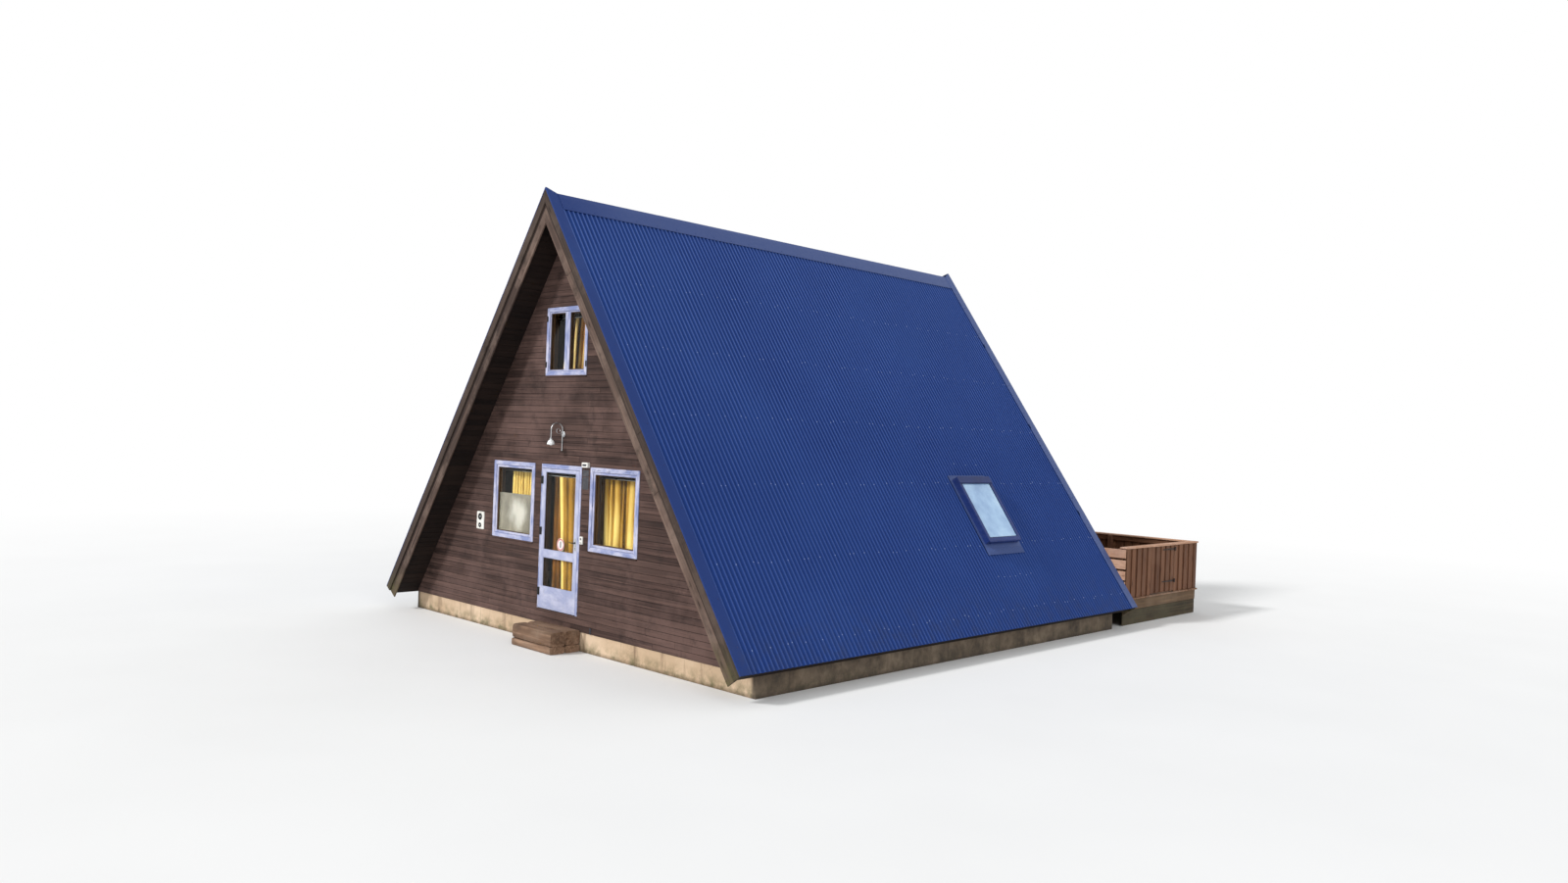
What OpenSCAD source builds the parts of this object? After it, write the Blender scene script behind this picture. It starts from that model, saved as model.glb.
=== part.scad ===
// A-frame timber cabin with a corrugated metal roof, a gable front and a fenced rear terrace.
// Heights are above the lowest ground. Depths y count from the front edge of the roof.

/* [Roof] */
// Width of the roof across both eaves
roof_w = 8560; // [8200:10:9000]
// Length of the roof along the ridge
roof_l = 9440; // [9000:10:10400]
// Height of the ridge above the eaves
ridge_rise = 6065; // [5800:5:6400]
// Height of the eaves above the ground
eave_h = 365; // [340:5:480]
// Distance from one corrugation of the sheet to the next
wave_pitch = 76; // [60:1:100]
// Height of the corrugations
wave_h = 18; // [12:1:24]
// Thickness of the roof sheet and its folded trims
sheet_t = 1.5; // [1:0.5:3]
// Thickness of the battens under the sheet
batten_t = 30; // [24:1:40]
// Width of the battens
batten_w = 60; // [40:5:80]
// Distance between the rows of battens
batten_pitch = 1105; // [600:5:1300]
// Thickness of the boarding on the rafters
boarding_t = 24; // [18:1:30]
// Depth of the rafters
rafter_d = 140; // [120:5:180]
// Width of the rafters
rafter_w = 60; // [50:5:80]
// Thickness of the inner lining and soffit boards
lining_t = 16; // [12:1:24]
// How far the roof structure stays back from the edge of the sheet at the eaves
eave_set = 60; // [30:5:100]
// Width of each flange of the ridge cap
cap_w = 374; // [250:2:450]
// Width of the flat top of the ridge cap
cap_top_w = 106; // [60:2:120]
// Width of the front verge trim
verge_w = 167; // [100:1:200]
// How far the verge trims fold down over the barge boards
verge_drop = 12; // [8:1:30]
// Height by which the rear verge trim stands above the sheet
verge_lift = 14; // [5:1:25]

/* [Barge boards] */
// Thickness of the barge boards
barge_t = 22; // [18:1:30]
// Depth of the upper barge board
barge_upper = 120; // [90:5:150]
// Depth at which the lower barge board ends
barge_lower = 283; // [260:1:320]
// How far the upper board laps over the lower one
barge_lap = 50; // [20:5:70]

/* [Base] */
// Height of the rendered plinth
plinth_h = 270; // [240:5:300]
// Thickness of the plinth walls
plinth_t = 240; // [180:10:300]
// How far the plinth stays behind the cladding
plinth_set = 10; // [5:1:30]
// Height of the ground floor
floor_h = 472; // [440:1:560]
// Height of the loft floor
loft_h = 3000; // [2900:10:3200]
// Thickness of the loft boards
loft_t = 25; // [18:1:40]
// Depth of the loft beams
beam_d = 160; // [120:5:200]

/* [Gable walls] */
// How far the gable walls stay behind the roof edges
gable_set = 450; // [350:5:600]
// Thickness of the gable walls
wall_t = 160; // [120:5:220]
// Height at which the gable's upper part starts
split_h = 2650; // [2610:5:2700]
// Height of the window and door heads
head_h = 2563; // [2500:1:2600]
// Visible height of one cladding board
board_h = 87; // [70:1:140]
// Depth of the grooves between cladding boards
groove_d = 8; // [4:1:12]

/* [Windows] */
// Height of the sill of the ground floor windows
sill_h = 1405; // [1200:5:1600]
// Left edge of the left window
left_win_x = -1781; // [-1900:1:-1700]
// Width of the left window
left_win_w = 1109; // [800:1:1150]
// Left edge of the right window
right_win_x = 697; // [660:1:800]
// Width of the right window
right_win_w = 1084; // [800:1:1150]
// Left edge of the upper window
upper_win_x = -491; // [-550:1:-400]
// Width of the upper window
upper_win_w = 1002; // [800:1:1050]
// Height of the sill of the upper window
upper_sill_h = 3839; // [3500:1:3900]
// Height of the upper window
upper_win_h = 978; // [700:1:1000]
// Width of the casing round a window
casing_w = 60; // [40:1:80]
// How far casings stand out from the cladding
casing_t = 14; // [8:1:25]
// Width from a window's outer edge to its glass
win_inset = 97; // [80:1:120]
// Depth of a window frame in the wall
frame_d = 80; // [60:5:110]
// Thickness of a pane
glass_t = 16; // [4:1:24]
// Width of the stile in the middle of the upper window
stile_w = 120; // [80:5:160]

/* [Door] */
// Left edge of the doorway in the wall
door_x = -500; // [-560:1:-450]
// Width of the doorway in the wall
door_w = 985; // [900:1:1060]
// Thickness of the door leaf
leaf_t = 45; // [38:1:60]
// Gap round the door leaf
leaf_gap = 5; // [4:0.5:8]
// Width of the stiles and rails of the door leaf
leaf_stile = 84; // [60:1:110]
// Height of the solid bottom of the door leaf
kick_h = 315; // [200:5:500]
// Height of the middle rail above the foot of the leaf
mid_rail_h = 742; // [600:2:1000]
// Height of the middle rail itself
mid_rail_w = 106; // [60:2:160]

/* [Wall fittings] */
// Height of the foot of the lamp's arch
lamp_arch_z = 3065; // [2950:5:3150]
// Reach of the lamp's arch
lamp_out = 190; // [150:5:250]
// Length of the lamp's upright rod below its arch
lamp_rod_l = 295; // [200:5:350]
// Width of the lamp's shade
lamp_shade_w = 110; // [90:2:160]
// Distance from the doorway to the plates beside it
plate_gap = 20; // [10:1:40]
// Width of the two plates beside the head of the door
plate_w = 143; // [100:1:160]
// Height of the upper plate
upper_plate_h = 93; // [60:1:120]
// Height of the lower plate
lower_plate_h = 173; // [120:1:200]
// Width of the slotted box above the plates
slot_box_w = 136; // [100:1:160]
// Height of the slotted box
slot_box_h = 71; // [50:1:90]
// Height of the bell above the ground
bell_z = 1484; // [1300:2:1600]
// Left edge of the thermometer on the wall
thermo_x = -2234; // [-2330:2:-2150]
// Height of the thermometer's lower end
thermo_z = 1476; // [1300:2:1600]

/* [Skylight] */
// Distance of the skylight from the eaves, up the slope
sky_s = 1420; // [1200:10:1700]
// Distance of the skylight from the front edge of the roof
sky_y = 5970; // [5600:10:6200]
// Width of the skylight
sky_w = 900; // [700:10:1000]
// Length of the skylight up the slope
sky_l = 1180; // [900:10:1400]
// Height of the skylight above the sheet
sky_rise = 100; // [70:5:130]
// Width of the skylight's frame
sky_frame = 65; // [50:1:90]

/* [Terrace] */
// How far the side fences of the terrace stand inside the eaves
fence_set = 250; // [220:5:400]
// Gap between the roof edge and the front ends of the fences
deck_start = 60; // [40:5:150]
// Length of the side fences
fence_l = 2800; // [2600:10:3200]
// Height of the top of the rail above the terrace boards
rail_h = 898; // [800:1:1050]
// Thickness of the terrace boards
deck_t = 28; // [22:1:40]
// Width of a terrace board
deck_board_w = 140; // [100:5:160]
// Gap between terrace boards
deck_gap = 7; // [4:1:12]
// How far the terrace boards stand out under the fences
deck_nose = 25; // [10:1:40]
// Width of a fence board
picket_w = 120; // [90:5:150]
// Distance from one outer fence board to the next
picket_pitch = 180; // [150:5:220]
// Thickness of a fence board
picket_t = 20; // [15:1:28]
// Width of the fence posts
post_w = 90; // [70:5:120]
// Distance of the gate from the front end of the fence
gate_start = 925; // [700:5:1100]
// Width of the gate
gate_w = 920; // [800:5:1000]
// Width of the handrail
handrail_w = 150; // [120:5:180]
// Thickness of the handrail
handrail_t = 28; // [20:1:40]

/* [Step] */
// Left edge of the door step
step_x = -370; // [-450:5:-300]
// Width of the door step
step_w = 960; // [800:5:1100]
// Depth of the door step
step_d = 495; // [400:5:600]
// Height of the door step
step_h = 305; // [250:5:320]
// Height of the upper sleepers of the step
sleeper_h = 200; // [150:5:220]

/* [Hidden] */

// Gap left between pieces that lie against each other
fit = 0.3;
// The slope of the roof and its length from the eaves to the ridge
slope = atan2(ridge_rise, roof_w / 2);
slope_l = sqrt(ridge_rise * ridge_rise + roof_w * roof_w / 4);
// Depths below the outer face of the roof at which each layer starts
batten_at = wave_h + sheet_t + fit;
boarding_at = batten_at + batten_t;
rafter_at = boarding_at + boarding_t;
lining_at = rafter_at + rafter_d;
inside_at = lining_at + lining_t;
// The roof structure runs between the barge boards
verge_in = 2 * barge_t + 2 * fit;
// Rafters stand beside the skylight and repeat from there
sky_gap = 4;
rafter_pitch = sky_w + 2 * sky_gap + rafter_w;
rafter_y0 = sky_y - sky_gap - rafter_w;
rafters_before = floor((rafter_y0 - verge_in - 2 * rafter_w) / rafter_pitch);
rafters_after = floor((roof_l - verge_in - 2 * rafter_w - rafter_y0 - rafter_w) / rafter_pitch);
rafter_ys = [for (k = [-rafters_before : rafters_after]) rafter_y0 + k * rafter_pitch];
// The terrace starts behind the rear edge of the roof
fence_y0 = roof_l + deck_start;
fence_y1 = fence_y0 + fence_l;
deck_half_w = roof_w / 2 - fence_set;
post_h = rail_h - handrail_t;
rail_over = 20;
front_y = min(gable_set - fit - step_d, -sheet_t - fit);
back_y = fence_y1 + max(rail_over, deck_nose - fit);
mid_y = (front_y + back_y) / 2;
// Door leaf, from the doorway and the gaps round it
jamb_hinge = 16;
jamb_lock = 42;
jamb_head = 62;
leaf_x0 = door_x + jamb_hinge + leaf_gap;
leaf_x1 = door_x + door_w - jamb_lock - leaf_gap;
leaf_z0 = floor_h + leaf_gap + 3;
leaf_z1 = head_h - jamb_head - leaf_gap;
leaf_y = gable_set - 10;
hinge_r = 7;
hinge_x = leaf_x0 - leaf_gap / 2 - 4;
hinge_y = leaf_y - hinge_r - fit;
// Gate, from the fence and the gaps round it
gate_y0 = fence_y0 + gate_start;
gate_y1 = gate_y0 + gate_w;
gate_gap = 8;
strap_h = 38;
strap_t = 6;
gate_pin_r = 9;
gate_pin_x = deck_half_w + strap_t + gate_pin_r + fit;

// Place on the slope of the right side, s up from the eaves and d in from the outer face
function slope_x(s, d) = roof_w / 2 - s * cos(slope) - d * sin(slope);
function slope_z(s, d) = eave_h + s * sin(slope) - d * cos(slope);
function slope_at_x(x, d) = (roof_w / 2 - d * sin(slope) - x) / cos(slope);
function half_at(z, d) = roof_w / 2 - (z - eave_h) / tan(slope) - d / sin(slope);
function inner_half(z) = half_at(z, inside_at + fit);
function height_at(x, d) = eave_h + (roof_w / 2 - d / sin(slope) - x) * tan(slope);

module place() translate([0, -mid_y, 0]) children();
module pair() {
    children();
    mirror([1, 0, 0]) children();
}
module turned_back() translate([0, roof_l, 0]) mirror([0, 1, 0]) children();
module front_and_back() {
    children();
    turned_back() children();
}
// Profiles drawn as x and z, run along y
module along_y(y0, y1) translate([0, y1, 0]) rotate([90, 0, 0]) linear_extrude(y1 - y0) children();
// The right slope laid flat: x up the slope, y along the ridge, z down into the roof
module on_slope() translate([roof_w / 2, 0, eave_h]) rotate([0, 180 + slope, 0]) children();
module box(a, b) translate(a) cube([b[0] - a[0], b[1] - a[1], b[2] - a[2]]);

// Section of one layer of the right slope, cut square at the eaves and upright at the ridge
module layer_section(s0, d0, d1, ridge_gap = 1) {
    s_top0 = slope_at_x(ridge_gap, d0);
    s_top1 = slope_at_x(ridge_gap, d1);
    polygon([
        [slope_x(s0, d0), slope_z(s0, d0)],
        [slope_x(s0, d1), slope_z(s0, d1)],
        [slope_x(s_top1, d1), slope_z(s_top1, d1)],
        [slope_x(s_top0, d0), slope_z(s_top0, d0)]
    ]);
}
module skylight_hole()
    on_slope() box(
        [sky_s - sky_gap, sky_y - sky_gap, -sky_rise - 50],
        [sky_s + sky_l + sky_gap, sky_y + sky_w + sky_gap, inside_at + 50]
    );

// Base and floors
module plinth_ring(half, y0, y1, z0, z1) {
    difference() {
        box([-half, y0, z0], [half, y1, z1]);
        box([-half + plinth_t, y0 + plinth_t, z0 - 1], [half - plinth_t, y1 - plinth_t, z1 + 1]);
    }
}
module plinth() {
    y0 = gable_set + plinth_set;
    color("wheat") place() plinth_ring(inner_half(plinth_h), y0, roof_l - y0, 0, plinth_h - fit);
}
// A floor reaches the lining on both sides, so its edges follow the slope
module sloped_plate(y0, y1, z0, z1)
    along_y(y0, y1) polygon([
        [-inner_half(z0), z0], [inner_half(z0), z0], [inner_half(z1), z1], [-inner_half(z1), z1]
    ]);
module floor() {
    y0 = gable_set + wall_t + fit;
    color("tan") place() sloped_plate(y0, roof_l - y0, plinth_h, floor_h);
}
module loft_floor() {
    y0 = gable_set + wall_t + fit;
    color("burlywood") place() sloped_plate(y0, roof_l - y0, loft_h - loft_t, loft_h);
}
module loft_beams() {
    z1 = loft_h - loft_t - fit;
    wall_in = gable_set + wall_t;
    inner_ys = [for (y = rafter_ys) if (y > wall_in && y < roof_l - wall_in - rafter_w) y];
    color("peru") place()
        for (y = inner_ys) sloped_plate(y, y + rafter_w, z1 - beam_d, z1);
}

// Gable walls
module wall_grooves() {
    first = plinth_h + board_h;
    last = eave_h + ridge_rise;
    for (z = [first : board_h : last])
        box([-roof_w / 2, gable_set - 1, z - 3], [roof_w / 2, gable_set + groove_d, z + 3]);
}
module window_hole(x, w, z0, z1) {
    lap = casing_w - 24;
    box([x + lap, gable_set - 50, z0 + lap], [x + w - lap, gable_set + wall_t + 50, z1 - lap]);
}
module wall_part(points) {
    difference() {
        along_y(gable_set, gable_set + wall_t) polygon(points);
        wall_grooves();
        window_hole(left_win_x, left_win_w, sill_h, head_h);
        window_hole(right_win_x, right_win_w, sill_h, head_h);
        window_hole(upper_win_x, upper_win_w, upper_sill_h, upper_sill_h + upper_win_h);
    }
}
module wall_left() {
    z0 = floor_h + fit;
    z1 = split_h - fit;
    wall_part([[-inner_half(z0), z0], [door_x, z0], [door_x, z1], [-inner_half(z1), z1]]);
}
module wall_right() {
    z0 = floor_h + fit;
    z1 = split_h - fit;
    door_x1 = door_x + door_w;
    wall_part([[door_x1, z0], [inner_half(z0), z0], [inner_half(z1), z1], [door_x1, z1]]);
}
module wall_gable() {
    z_top = eave_h + (roof_w / 2 - (inside_at + fit) / sin(slope)) * tan(slope);
    x0 = door_x + fit;
    x1 = door_x + door_w - fit;
    wall_part([
        [-inner_half(split_h), split_h], [x0, split_h], [x0, head_h], [x1, head_h],
        [x1, split_h], [inner_half(split_h), split_h], [0, z_top]
    ]);
}
module wall_base()
    difference() {
        sloped_plate(gable_set, gable_set + wall_t, plinth_h, floor_h);
        wall_grooves();
    }
module wall_bases() color("saddlebrown") place() front_and_back() wall_base();
module front_wall_left() color("saddlebrown") place() wall_left();
module front_wall_right() color("saddlebrown") place() wall_right();
module front_wall_gable() color("saddlebrown") place() wall_gable();
module back_wall_left() color("saddlebrown") place() turned_back() wall_left();
module back_wall_right() color("saddlebrown") place() turned_back() wall_right();
module back_wall_gable() color("saddlebrown") place() turned_back() wall_gable();

// Roof
module rafters() {
    ys = concat([verge_in], rafter_ys, [roof_l - verge_in - rafter_w]);
    color("peru") place() pair() for (y = ys)
        along_y(y, y + rafter_w) layer_section(eave_set, rafter_at, lining_at);
}
module layer(d0, d1) along_y(verge_in, roof_l - verge_in) layer_section(eave_set, d0, d1);
module roof_lining_left() color("sienna") place() mirror([1, 0, 0]) layer(lining_at, inside_at);
module roof_lining_right() {
    color("sienna") place() difference() {
        layer(lining_at, inside_at);
        skylight_hole();
    }
}
module roof_boarding() {
    color("burlywood") place() difference() {
        pair() layer(boarding_at, rafter_at);
        skylight_hole();
    }
}
module roof_battens() {
    first = 5 * batten_w;
    last = slope_l - cap_w - 2 * batten_w;
    n = round((last - first) / batten_pitch);
    color("burlywood") place() difference() {
        pair() on_slope() for (k = [0 : n]) {
            s = first + k * (last - first) / n;
            box([s, verge_in, batten_at], [s + batten_w, roof_l - verge_in, boarding_at - fit]);
        }
        skylight_hole();
    }
}
// The ridge cap lies on the crests between the verge trims: a flat top, and a small fold down
// at each edge. The sheets end below its flat top.
cap_rest = fit;
cap_at = cap_rest + 3 * sheet_t;
cap_z = slope_z(slope_at_x(cap_top_w / 2, -cap_at - sheet_t), -cap_at - sheet_t);
cap_s = (cap_z - sheet_t - eave_h) / sin(slope);
// The corrugated sheet, drawn as one wave profile and run up the slope
wave_steps = 6;
function wave(i) = wave_h * (1 - cos(360 * i / wave_steps)) / 2;
module corrugated_slope() {
    step = wave_pitch / wave_steps;
    y0 = barge_t + 2;
    n = floor((roof_l - 2 * y0) / step);
    top = cap_s - fit;
    outer = [for (i = [0 : n]) [y0 + i * step, wave(i)]];
    under = [for (i = [n : -1 : 0]) [y0 + i * step, wave(i) + sheet_t]];
    on_slope() rotate([90, 0, 90]) linear_extrude(top) polygon(concat(outer, under));
}
module roof_sheet_left() color("midnightblue") place() mirror([1, 0, 0]) corrugated_slope();
module roof_sheet_right() {
    color("midnightblue") place() difference() {
        corrugated_slope();
        skylight_hole();
    }
}
function mirrored(points) = [for (i = [len(points) - 1 : -1 : 0]) [-points[i][0], points[i][1]]];
function reversed(points) = [for (i = [len(points) - 1 : -1 : 0]) points[i]];
module ridge_cap() {
    s0 = slope_l - cap_w;
    s1 = s0 - sheet_t;
    over = cap_at + sheet_t;
    outer = [
        [slope_x(s1, -cap_rest), slope_z(s1, -cap_rest)],
        [slope_x(s1, -over), slope_z(s1, -over)],
        [cap_top_w / 2, cap_z]
    ];
    inner = [
        [slope_x(s0, -cap_rest), slope_z(s0, -cap_rest)],
        [slope_x(s0, -cap_at), slope_z(s0, -cap_at)],
        [half_at(cap_z - sheet_t, -cap_at), cap_z - sheet_t]
    ];
    color("slategray") place() along_y(verge_w + fit, roof_l - verge_w - fit)
        polygon(concat(outer, mirrored(outer), reversed(mirrored(inner)), reversed(inner)));
}
// The trims of both sides meet in a peak above the ridge cap and are cut down to it behind
module verge_trim(width, lift) {
    peak = slope_at_x(0, -fit - sheet_t - lift) + 1;
    intersection() {
        on_slope() rotate([90, 0, 90]) linear_extrude(peak) polygon([
            [-fit - sheet_t, verge_drop], [-fit, verge_drop], [-fit, -fit - lift],
            [width - sheet_t, -fit - lift], [width - sheet_t, -fit], [width, -fit],
            [width, -fit - sheet_t - lift], [-fit - sheet_t, -fit - sheet_t - lift]
        ]);
        on_slope() translate([0, 0, -50]) linear_extrude(100) polygon([
            [-1, -10], [peak, -10], [peak, barge_t + 2],
            [cap_s, width], [cap_s, width + 1], [-1, width + 1]
        ]);
        box([fit, -10, 0], [roof_w, roof_l, 2 * (eave_h + ridge_rise)]);
    }
}
module verge_trims() {
    color("slategray") place() pair() {
        verge_trim(verge_w, 0);
        turned_back() verge_trim(verge_w, verge_lift);
    }
}
module barge_boards_upper()
    color("dimgray") place() front_and_back() pair()
        along_y(0, barge_t) layer_section(0, fit, barge_upper);
module barge_boards_lower()
    color("dimgray") place() front_and_back() pair()
        along_y(barge_t + fit, 2 * barge_t + fit)
            layer_section(0, barge_upper - barge_lap, barge_lower);
module eave_boards()
    color("dimgray") place() pair() on_slope() box(
        [eave_set - 20, verge_in, boarding_at], [eave_set - fit, roof_l - verge_in, inside_at]
    );

// A ring in the gable plane, from y0 to y1, with a border of one width
module ring(x0, x1, z0, z1, border, y0, y1)
    difference() {
        box([x0, y0, z0], [x1, y1, z1]);
        box([x0 + border, y0 - 1, z0 + border], [x1 - border, y1 + 1, z1 - border]);
    }
rebate = 9;
sash_out = 2;
pane_y = gable_set + 26;
module window_frame(x, w, z0, z1, inset) {
    lap = casing_w - 24 + fit;
    face = gable_set - casing_t;
    ring(x, x + w, z0, z1, casing_w, face, gable_set - fit);
    ring(x + lap, x + w - lap, z0 + lap, z1 - lap, inset - lap, gable_set - sash_out, pane_y);
    ring(x + lap, x + w - lap, z0 + lap, z1 - lap, inset - lap - rebate, pane_y, gable_set + frame_d);
}
module window_pane(x0, x1, z0, z1) {
    edge = rebate - fit;
    box([x0 - edge, pane_y + fit, z0 - edge], [x1 + edge, pane_y + glass_t, z1 + edge]);
}
upper_inset = win_inset - 15;
upper_head = upper_sill_h + upper_win_h;
upper_mid = upper_win_x + upper_win_w / 2;
module window_frames() {
    window_frame(left_win_x, left_win_w, sill_h, head_h, win_inset);
    window_frame(right_win_x, right_win_w, sill_h, head_h, win_inset);
    window_frame(upper_win_x, upper_win_w, upper_sill_h, upper_head, upper_inset);
    box(
        [upper_mid - stile_w / 2, gable_set - sash_out, upper_sill_h + upper_inset - 1],
        [upper_mid + stile_w / 2, pane_y, upper_head - upper_inset + 1]
    );
    box(
        [upper_mid - stile_w / 2 + rebate, pane_y - 1, upper_sill_h + upper_inset - rebate - 1],
        [upper_mid + stile_w / 2 - rebate, gable_set + frame_d, upper_head - upper_inset + rebate + 1]
    );
}
module window_panes() {
    for (win = [[left_win_x, left_win_w], [right_win_x, right_win_w]])
        window_pane(
            win[0] + win_inset, win[0] + win[1] - win_inset, sill_h + win_inset, head_h - win_inset
        );
    z0 = upper_sill_h + upper_inset;
    z1 = upper_head - upper_inset;
    window_pane(upper_win_x + upper_inset, upper_mid - stile_w / 2, z0, z1);
    window_pane(upper_mid + stile_w / 2, upper_win_x + upper_win_w - upper_inset, z0, z1);
}
module front_window_frames() color("white") place() window_frames();
module front_window_glass() color("lightblue", 0.4) place() window_panes();
module back_window_frames() color("white") place() turned_back() window_frames();

// Entrance door
stop_w = 20;
module door_surround(rear) {
    x0 = door_x + fit;
    x1 = door_x + door_w - fit;
    z0 = floor_h + fit;
    z1 = head_h - fit;
    stop_y = leaf_y + leaf_t + leaf_gap;
    difference() {
        box([x0, leaf_y, z0], [x1, rear, z1]);
        box(
            [door_x + jamb_hinge, leaf_y - 1, z0 - 1],
            [x1 - jamb_lock + fit, stop_y, z1 - jamb_head + fit]
        );
        box(
            [door_x + jamb_hinge + stop_w, stop_y - 1, z0 - 1],
            [x1 - jamb_lock - stop_w, rear + 1, z1 - jamb_head - stop_w]
        );
    }
}
barrel_l = 62;
knuckle_l = 22;
plate_h = 112;
pin_gap = fit;
hinge_zs = [leaf_z0 + 240, (leaf_z0 + leaf_z1) / 2 + 105, leaf_z1 - 165];
module door_frame() color("white") place() door_surround(gable_set + wall_t - 10);
leaf_kick_z = leaf_z0 + kick_h;
leaf_rail_z = leaf_z0 + mid_rail_h;
leaf_lights = [[leaf_kick_z, leaf_rail_z], [leaf_rail_z + mid_rail_w, leaf_z1 - leaf_stile / 2]];
leaf_pane_y = leaf_y + leaf_t / 3;
module leaf_body(x0, x1, z1) {
    difference() {
        box([x0, leaf_y, leaf_z0], [x1, leaf_y + leaf_t, z1]);
        for (light = leaf_lights) {
            box([x0 + leaf_stile, leaf_y - 1, light[0]], [x1 - leaf_stile, leaf_y + leaf_t + 1, light[1]]);
            box(
                [x0 + leaf_stile - rebate, leaf_pane_y, light[0] - rebate],
                [x1 - leaf_stile + rebate, leaf_y + leaf_t + 1, light[1] + rebate]
            );
        }
    }
}
module leaf_panes(x0, x1)
    for (light = leaf_lights) box(
        [x0 + leaf_stile - rebate + fit, leaf_pane_y + fit, light[0] - rebate + fit],
        [x1 - leaf_stile + rebate - fit, leaf_pane_y + glass_t, light[1] + rebate - fit]
    );
module door_leaf() color("white") place() leaf_body(leaf_x0, leaf_x1, leaf_z1);
module door_glass() color("lightblue", 0.4) place() leaf_panes(leaf_x0, leaf_x1);
lever_z = leaf_z0 + 1010;
lever_x = leaf_x1 - leaf_stile / 2;
rose_t = 6;
module handle_plate(y0)
    box([lever_x - 18, y0, lever_z - 120], [lever_x + 18, y0 + rose_t, lever_z + 60]);
module outer_lever() {
    y0 = leaf_y - fit - rose_t;
    handle_plate(y0);
    translate([lever_x, y0 + 1, lever_z]) rotate([90, 0, 0]) cylinder(h = 36, r = 9, $fn = 24);
    box([lever_x - 115, y0 - 35, lever_z - 9], [lever_x + 9, y0 - 21, lever_z + 9]);
}
module inner_knob() {
    y0 = leaf_y + leaf_t + fit;
    handle_plate(y0);
    translate([lever_x, y0 + rose_t - 1, lever_z]) rotate([-90, 0, 0]) {
        cylinder(h = 36, r = 8, $fn = 24);
        translate([0, 0, 26]) cylinder(h = 22, r = 19, $fn = 32);
    }
}
module door_fittings() {
    color("dimgray") place() {
        outer_lever();
        inner_knob();
        for (z = hinge_zs) translate([0, 0, z - barrel_l / 2]) {
            translate([hinge_x, hinge_y, 0]) cylinder(h = barrel_l, r = hinge_r, $fn = 24);
            box([hinge_x, hinge_y - hinge_r, 0], [leaf_x0 + 34, hinge_y - hinge_r + 3, barrel_l]);
            translate([0, 0, (barrel_l - plate_h) / 2])
                box([leaf_x0 + 6, hinge_y - hinge_r, 0], [leaf_x0 + 34, leaf_y - fit, plate_h]);
        }
    }
}
// The rear gable repeats the front, with its door fixed shut
module back_door() {
    color("white") place() turned_back() {
        door_surround(gable_set + wall_t - 10);
        leaf_body(door_x + 10, door_x + door_w - 10, head_h - 10);
    }
}
module back_window_glass() {
    color("lightblue", 0.4) place() turned_back() {
        window_panes();
        leaf_panes(door_x + 10, door_x + door_w - 10);
    }
}

// Skylight on the right slope
sky_y1 = sky_y + sky_w;
sky_s1 = sky_s + sky_l;
module sky_ring(border, d0, d1, out = 0)
    difference() {
        box([sky_s - out, sky_y - out, d0], [sky_s1 + out, sky_y1 + out, d1]);
        box([sky_s + border, sky_y + border, d0 - 1], [sky_s1 - border, sky_y1 - border, d1 + 1]);
    }
sash_t = 40;
sky_pane_at = -sky_rise + 12;
module skylight_frame() {
    color("darkslategray") place() on_slope() {
        sky_ring(sky_frame - 15, -sky_rise + sash_t - 1, inside_at);
        sky_ring(sky_frame, -sky_rise, sky_pane_at);
        sky_ring(sky_frame - rebate, sky_pane_at, -sky_rise + sash_t);
        box([sky_s1 - 2 * sky_frame, sky_y, -sky_rise - 6], [sky_s1, sky_y1, -sky_rise + 1]);
    }
}
module skylight_glass() {
    color("lightblue", 0.4) place() on_slope() box(
        [sky_s + sky_frame - rebate + fit, sky_y + sky_frame - rebate + fit, sky_pane_at + fit],
        [sky_s1 - sky_frame + rebate - fit, sky_y1 - sky_frame + rebate - fit, sky_pane_at + glass_t]
    );
}
skirt_l = 195;
flash_w = 55;
module skylight_flashing() {
    color("slategray") place() on_slope() {
        difference() {
            box(
                [sky_s - skirt_l, sky_y - flash_w, -fit - sheet_t],
                [sky_s1 + flash_w + 30, sky_y1 + flash_w, -fit]
            );
            box(
                [sky_s - fit, sky_y - fit, -fit - sheet_t - 1],
                [sky_s1 + fit, sky_y1 + fit, 1]
            );
        }
        pleats = floor((sky_w + 2 * flash_w) / 40);
        for (k = [0 : pleats - 1])
            translate([sky_s - skirt_l, sky_y - flash_w + 12 + k * 40, -fit - sheet_t - 5])
                cube([skirt_l * 0.55, 16, 5 + sheet_t / 2]);
    }
}

// Fittings on the front wall
wall_face = gable_set - fit;
rod_r = 7;
rod_away = 16;
// Domed shade of the lamp, drawn for a rim of radius 68
module lamp_shade() scale(lamp_shade_w / 136) rotate_extrude($fn = 48) polygon([
    [0, 104], [20, 104], [25, 84], [46, 64], [62, 34], [68, 0],
    [65, 0], [59, 32], [44, 59], [24, 77], [0, 77]
]);
// Swan-neck lamp: wall plate, upright rod, arched arm and a glass shade
module wall_lamp() {
    shade_z = lamp_arch_z - 212;
    color("gainsboro") place() translate([0, wall_face, 0]) {
        translate([0, 0, lamp_arch_z - 65]) rotate([90, 0, 0]) cylinder(h = rod_away + 4, r = 45, $fn = 32);
        translate([0, -rod_away, lamp_arch_z - lamp_rod_l])
            cylinder(h = lamp_rod_l + 2, r = rod_r, $fn = 24);
        translate([0, -rod_away - lamp_out / 2, lamp_arch_z]) rotate([90, 0, 90])
            rotate_extrude(angle = 180, $fn = 48)
                translate([lamp_out / 2, 0]) circle(r = rod_r + 1, $fn = 24);
        translate([0, -rod_away - lamp_out, shade_z + 76]) cylinder(h = 138, r = rod_r, $fn = 24);
        translate([0, -rod_away - lamp_out, shade_z]) lamp_shade();
    }
}
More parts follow.
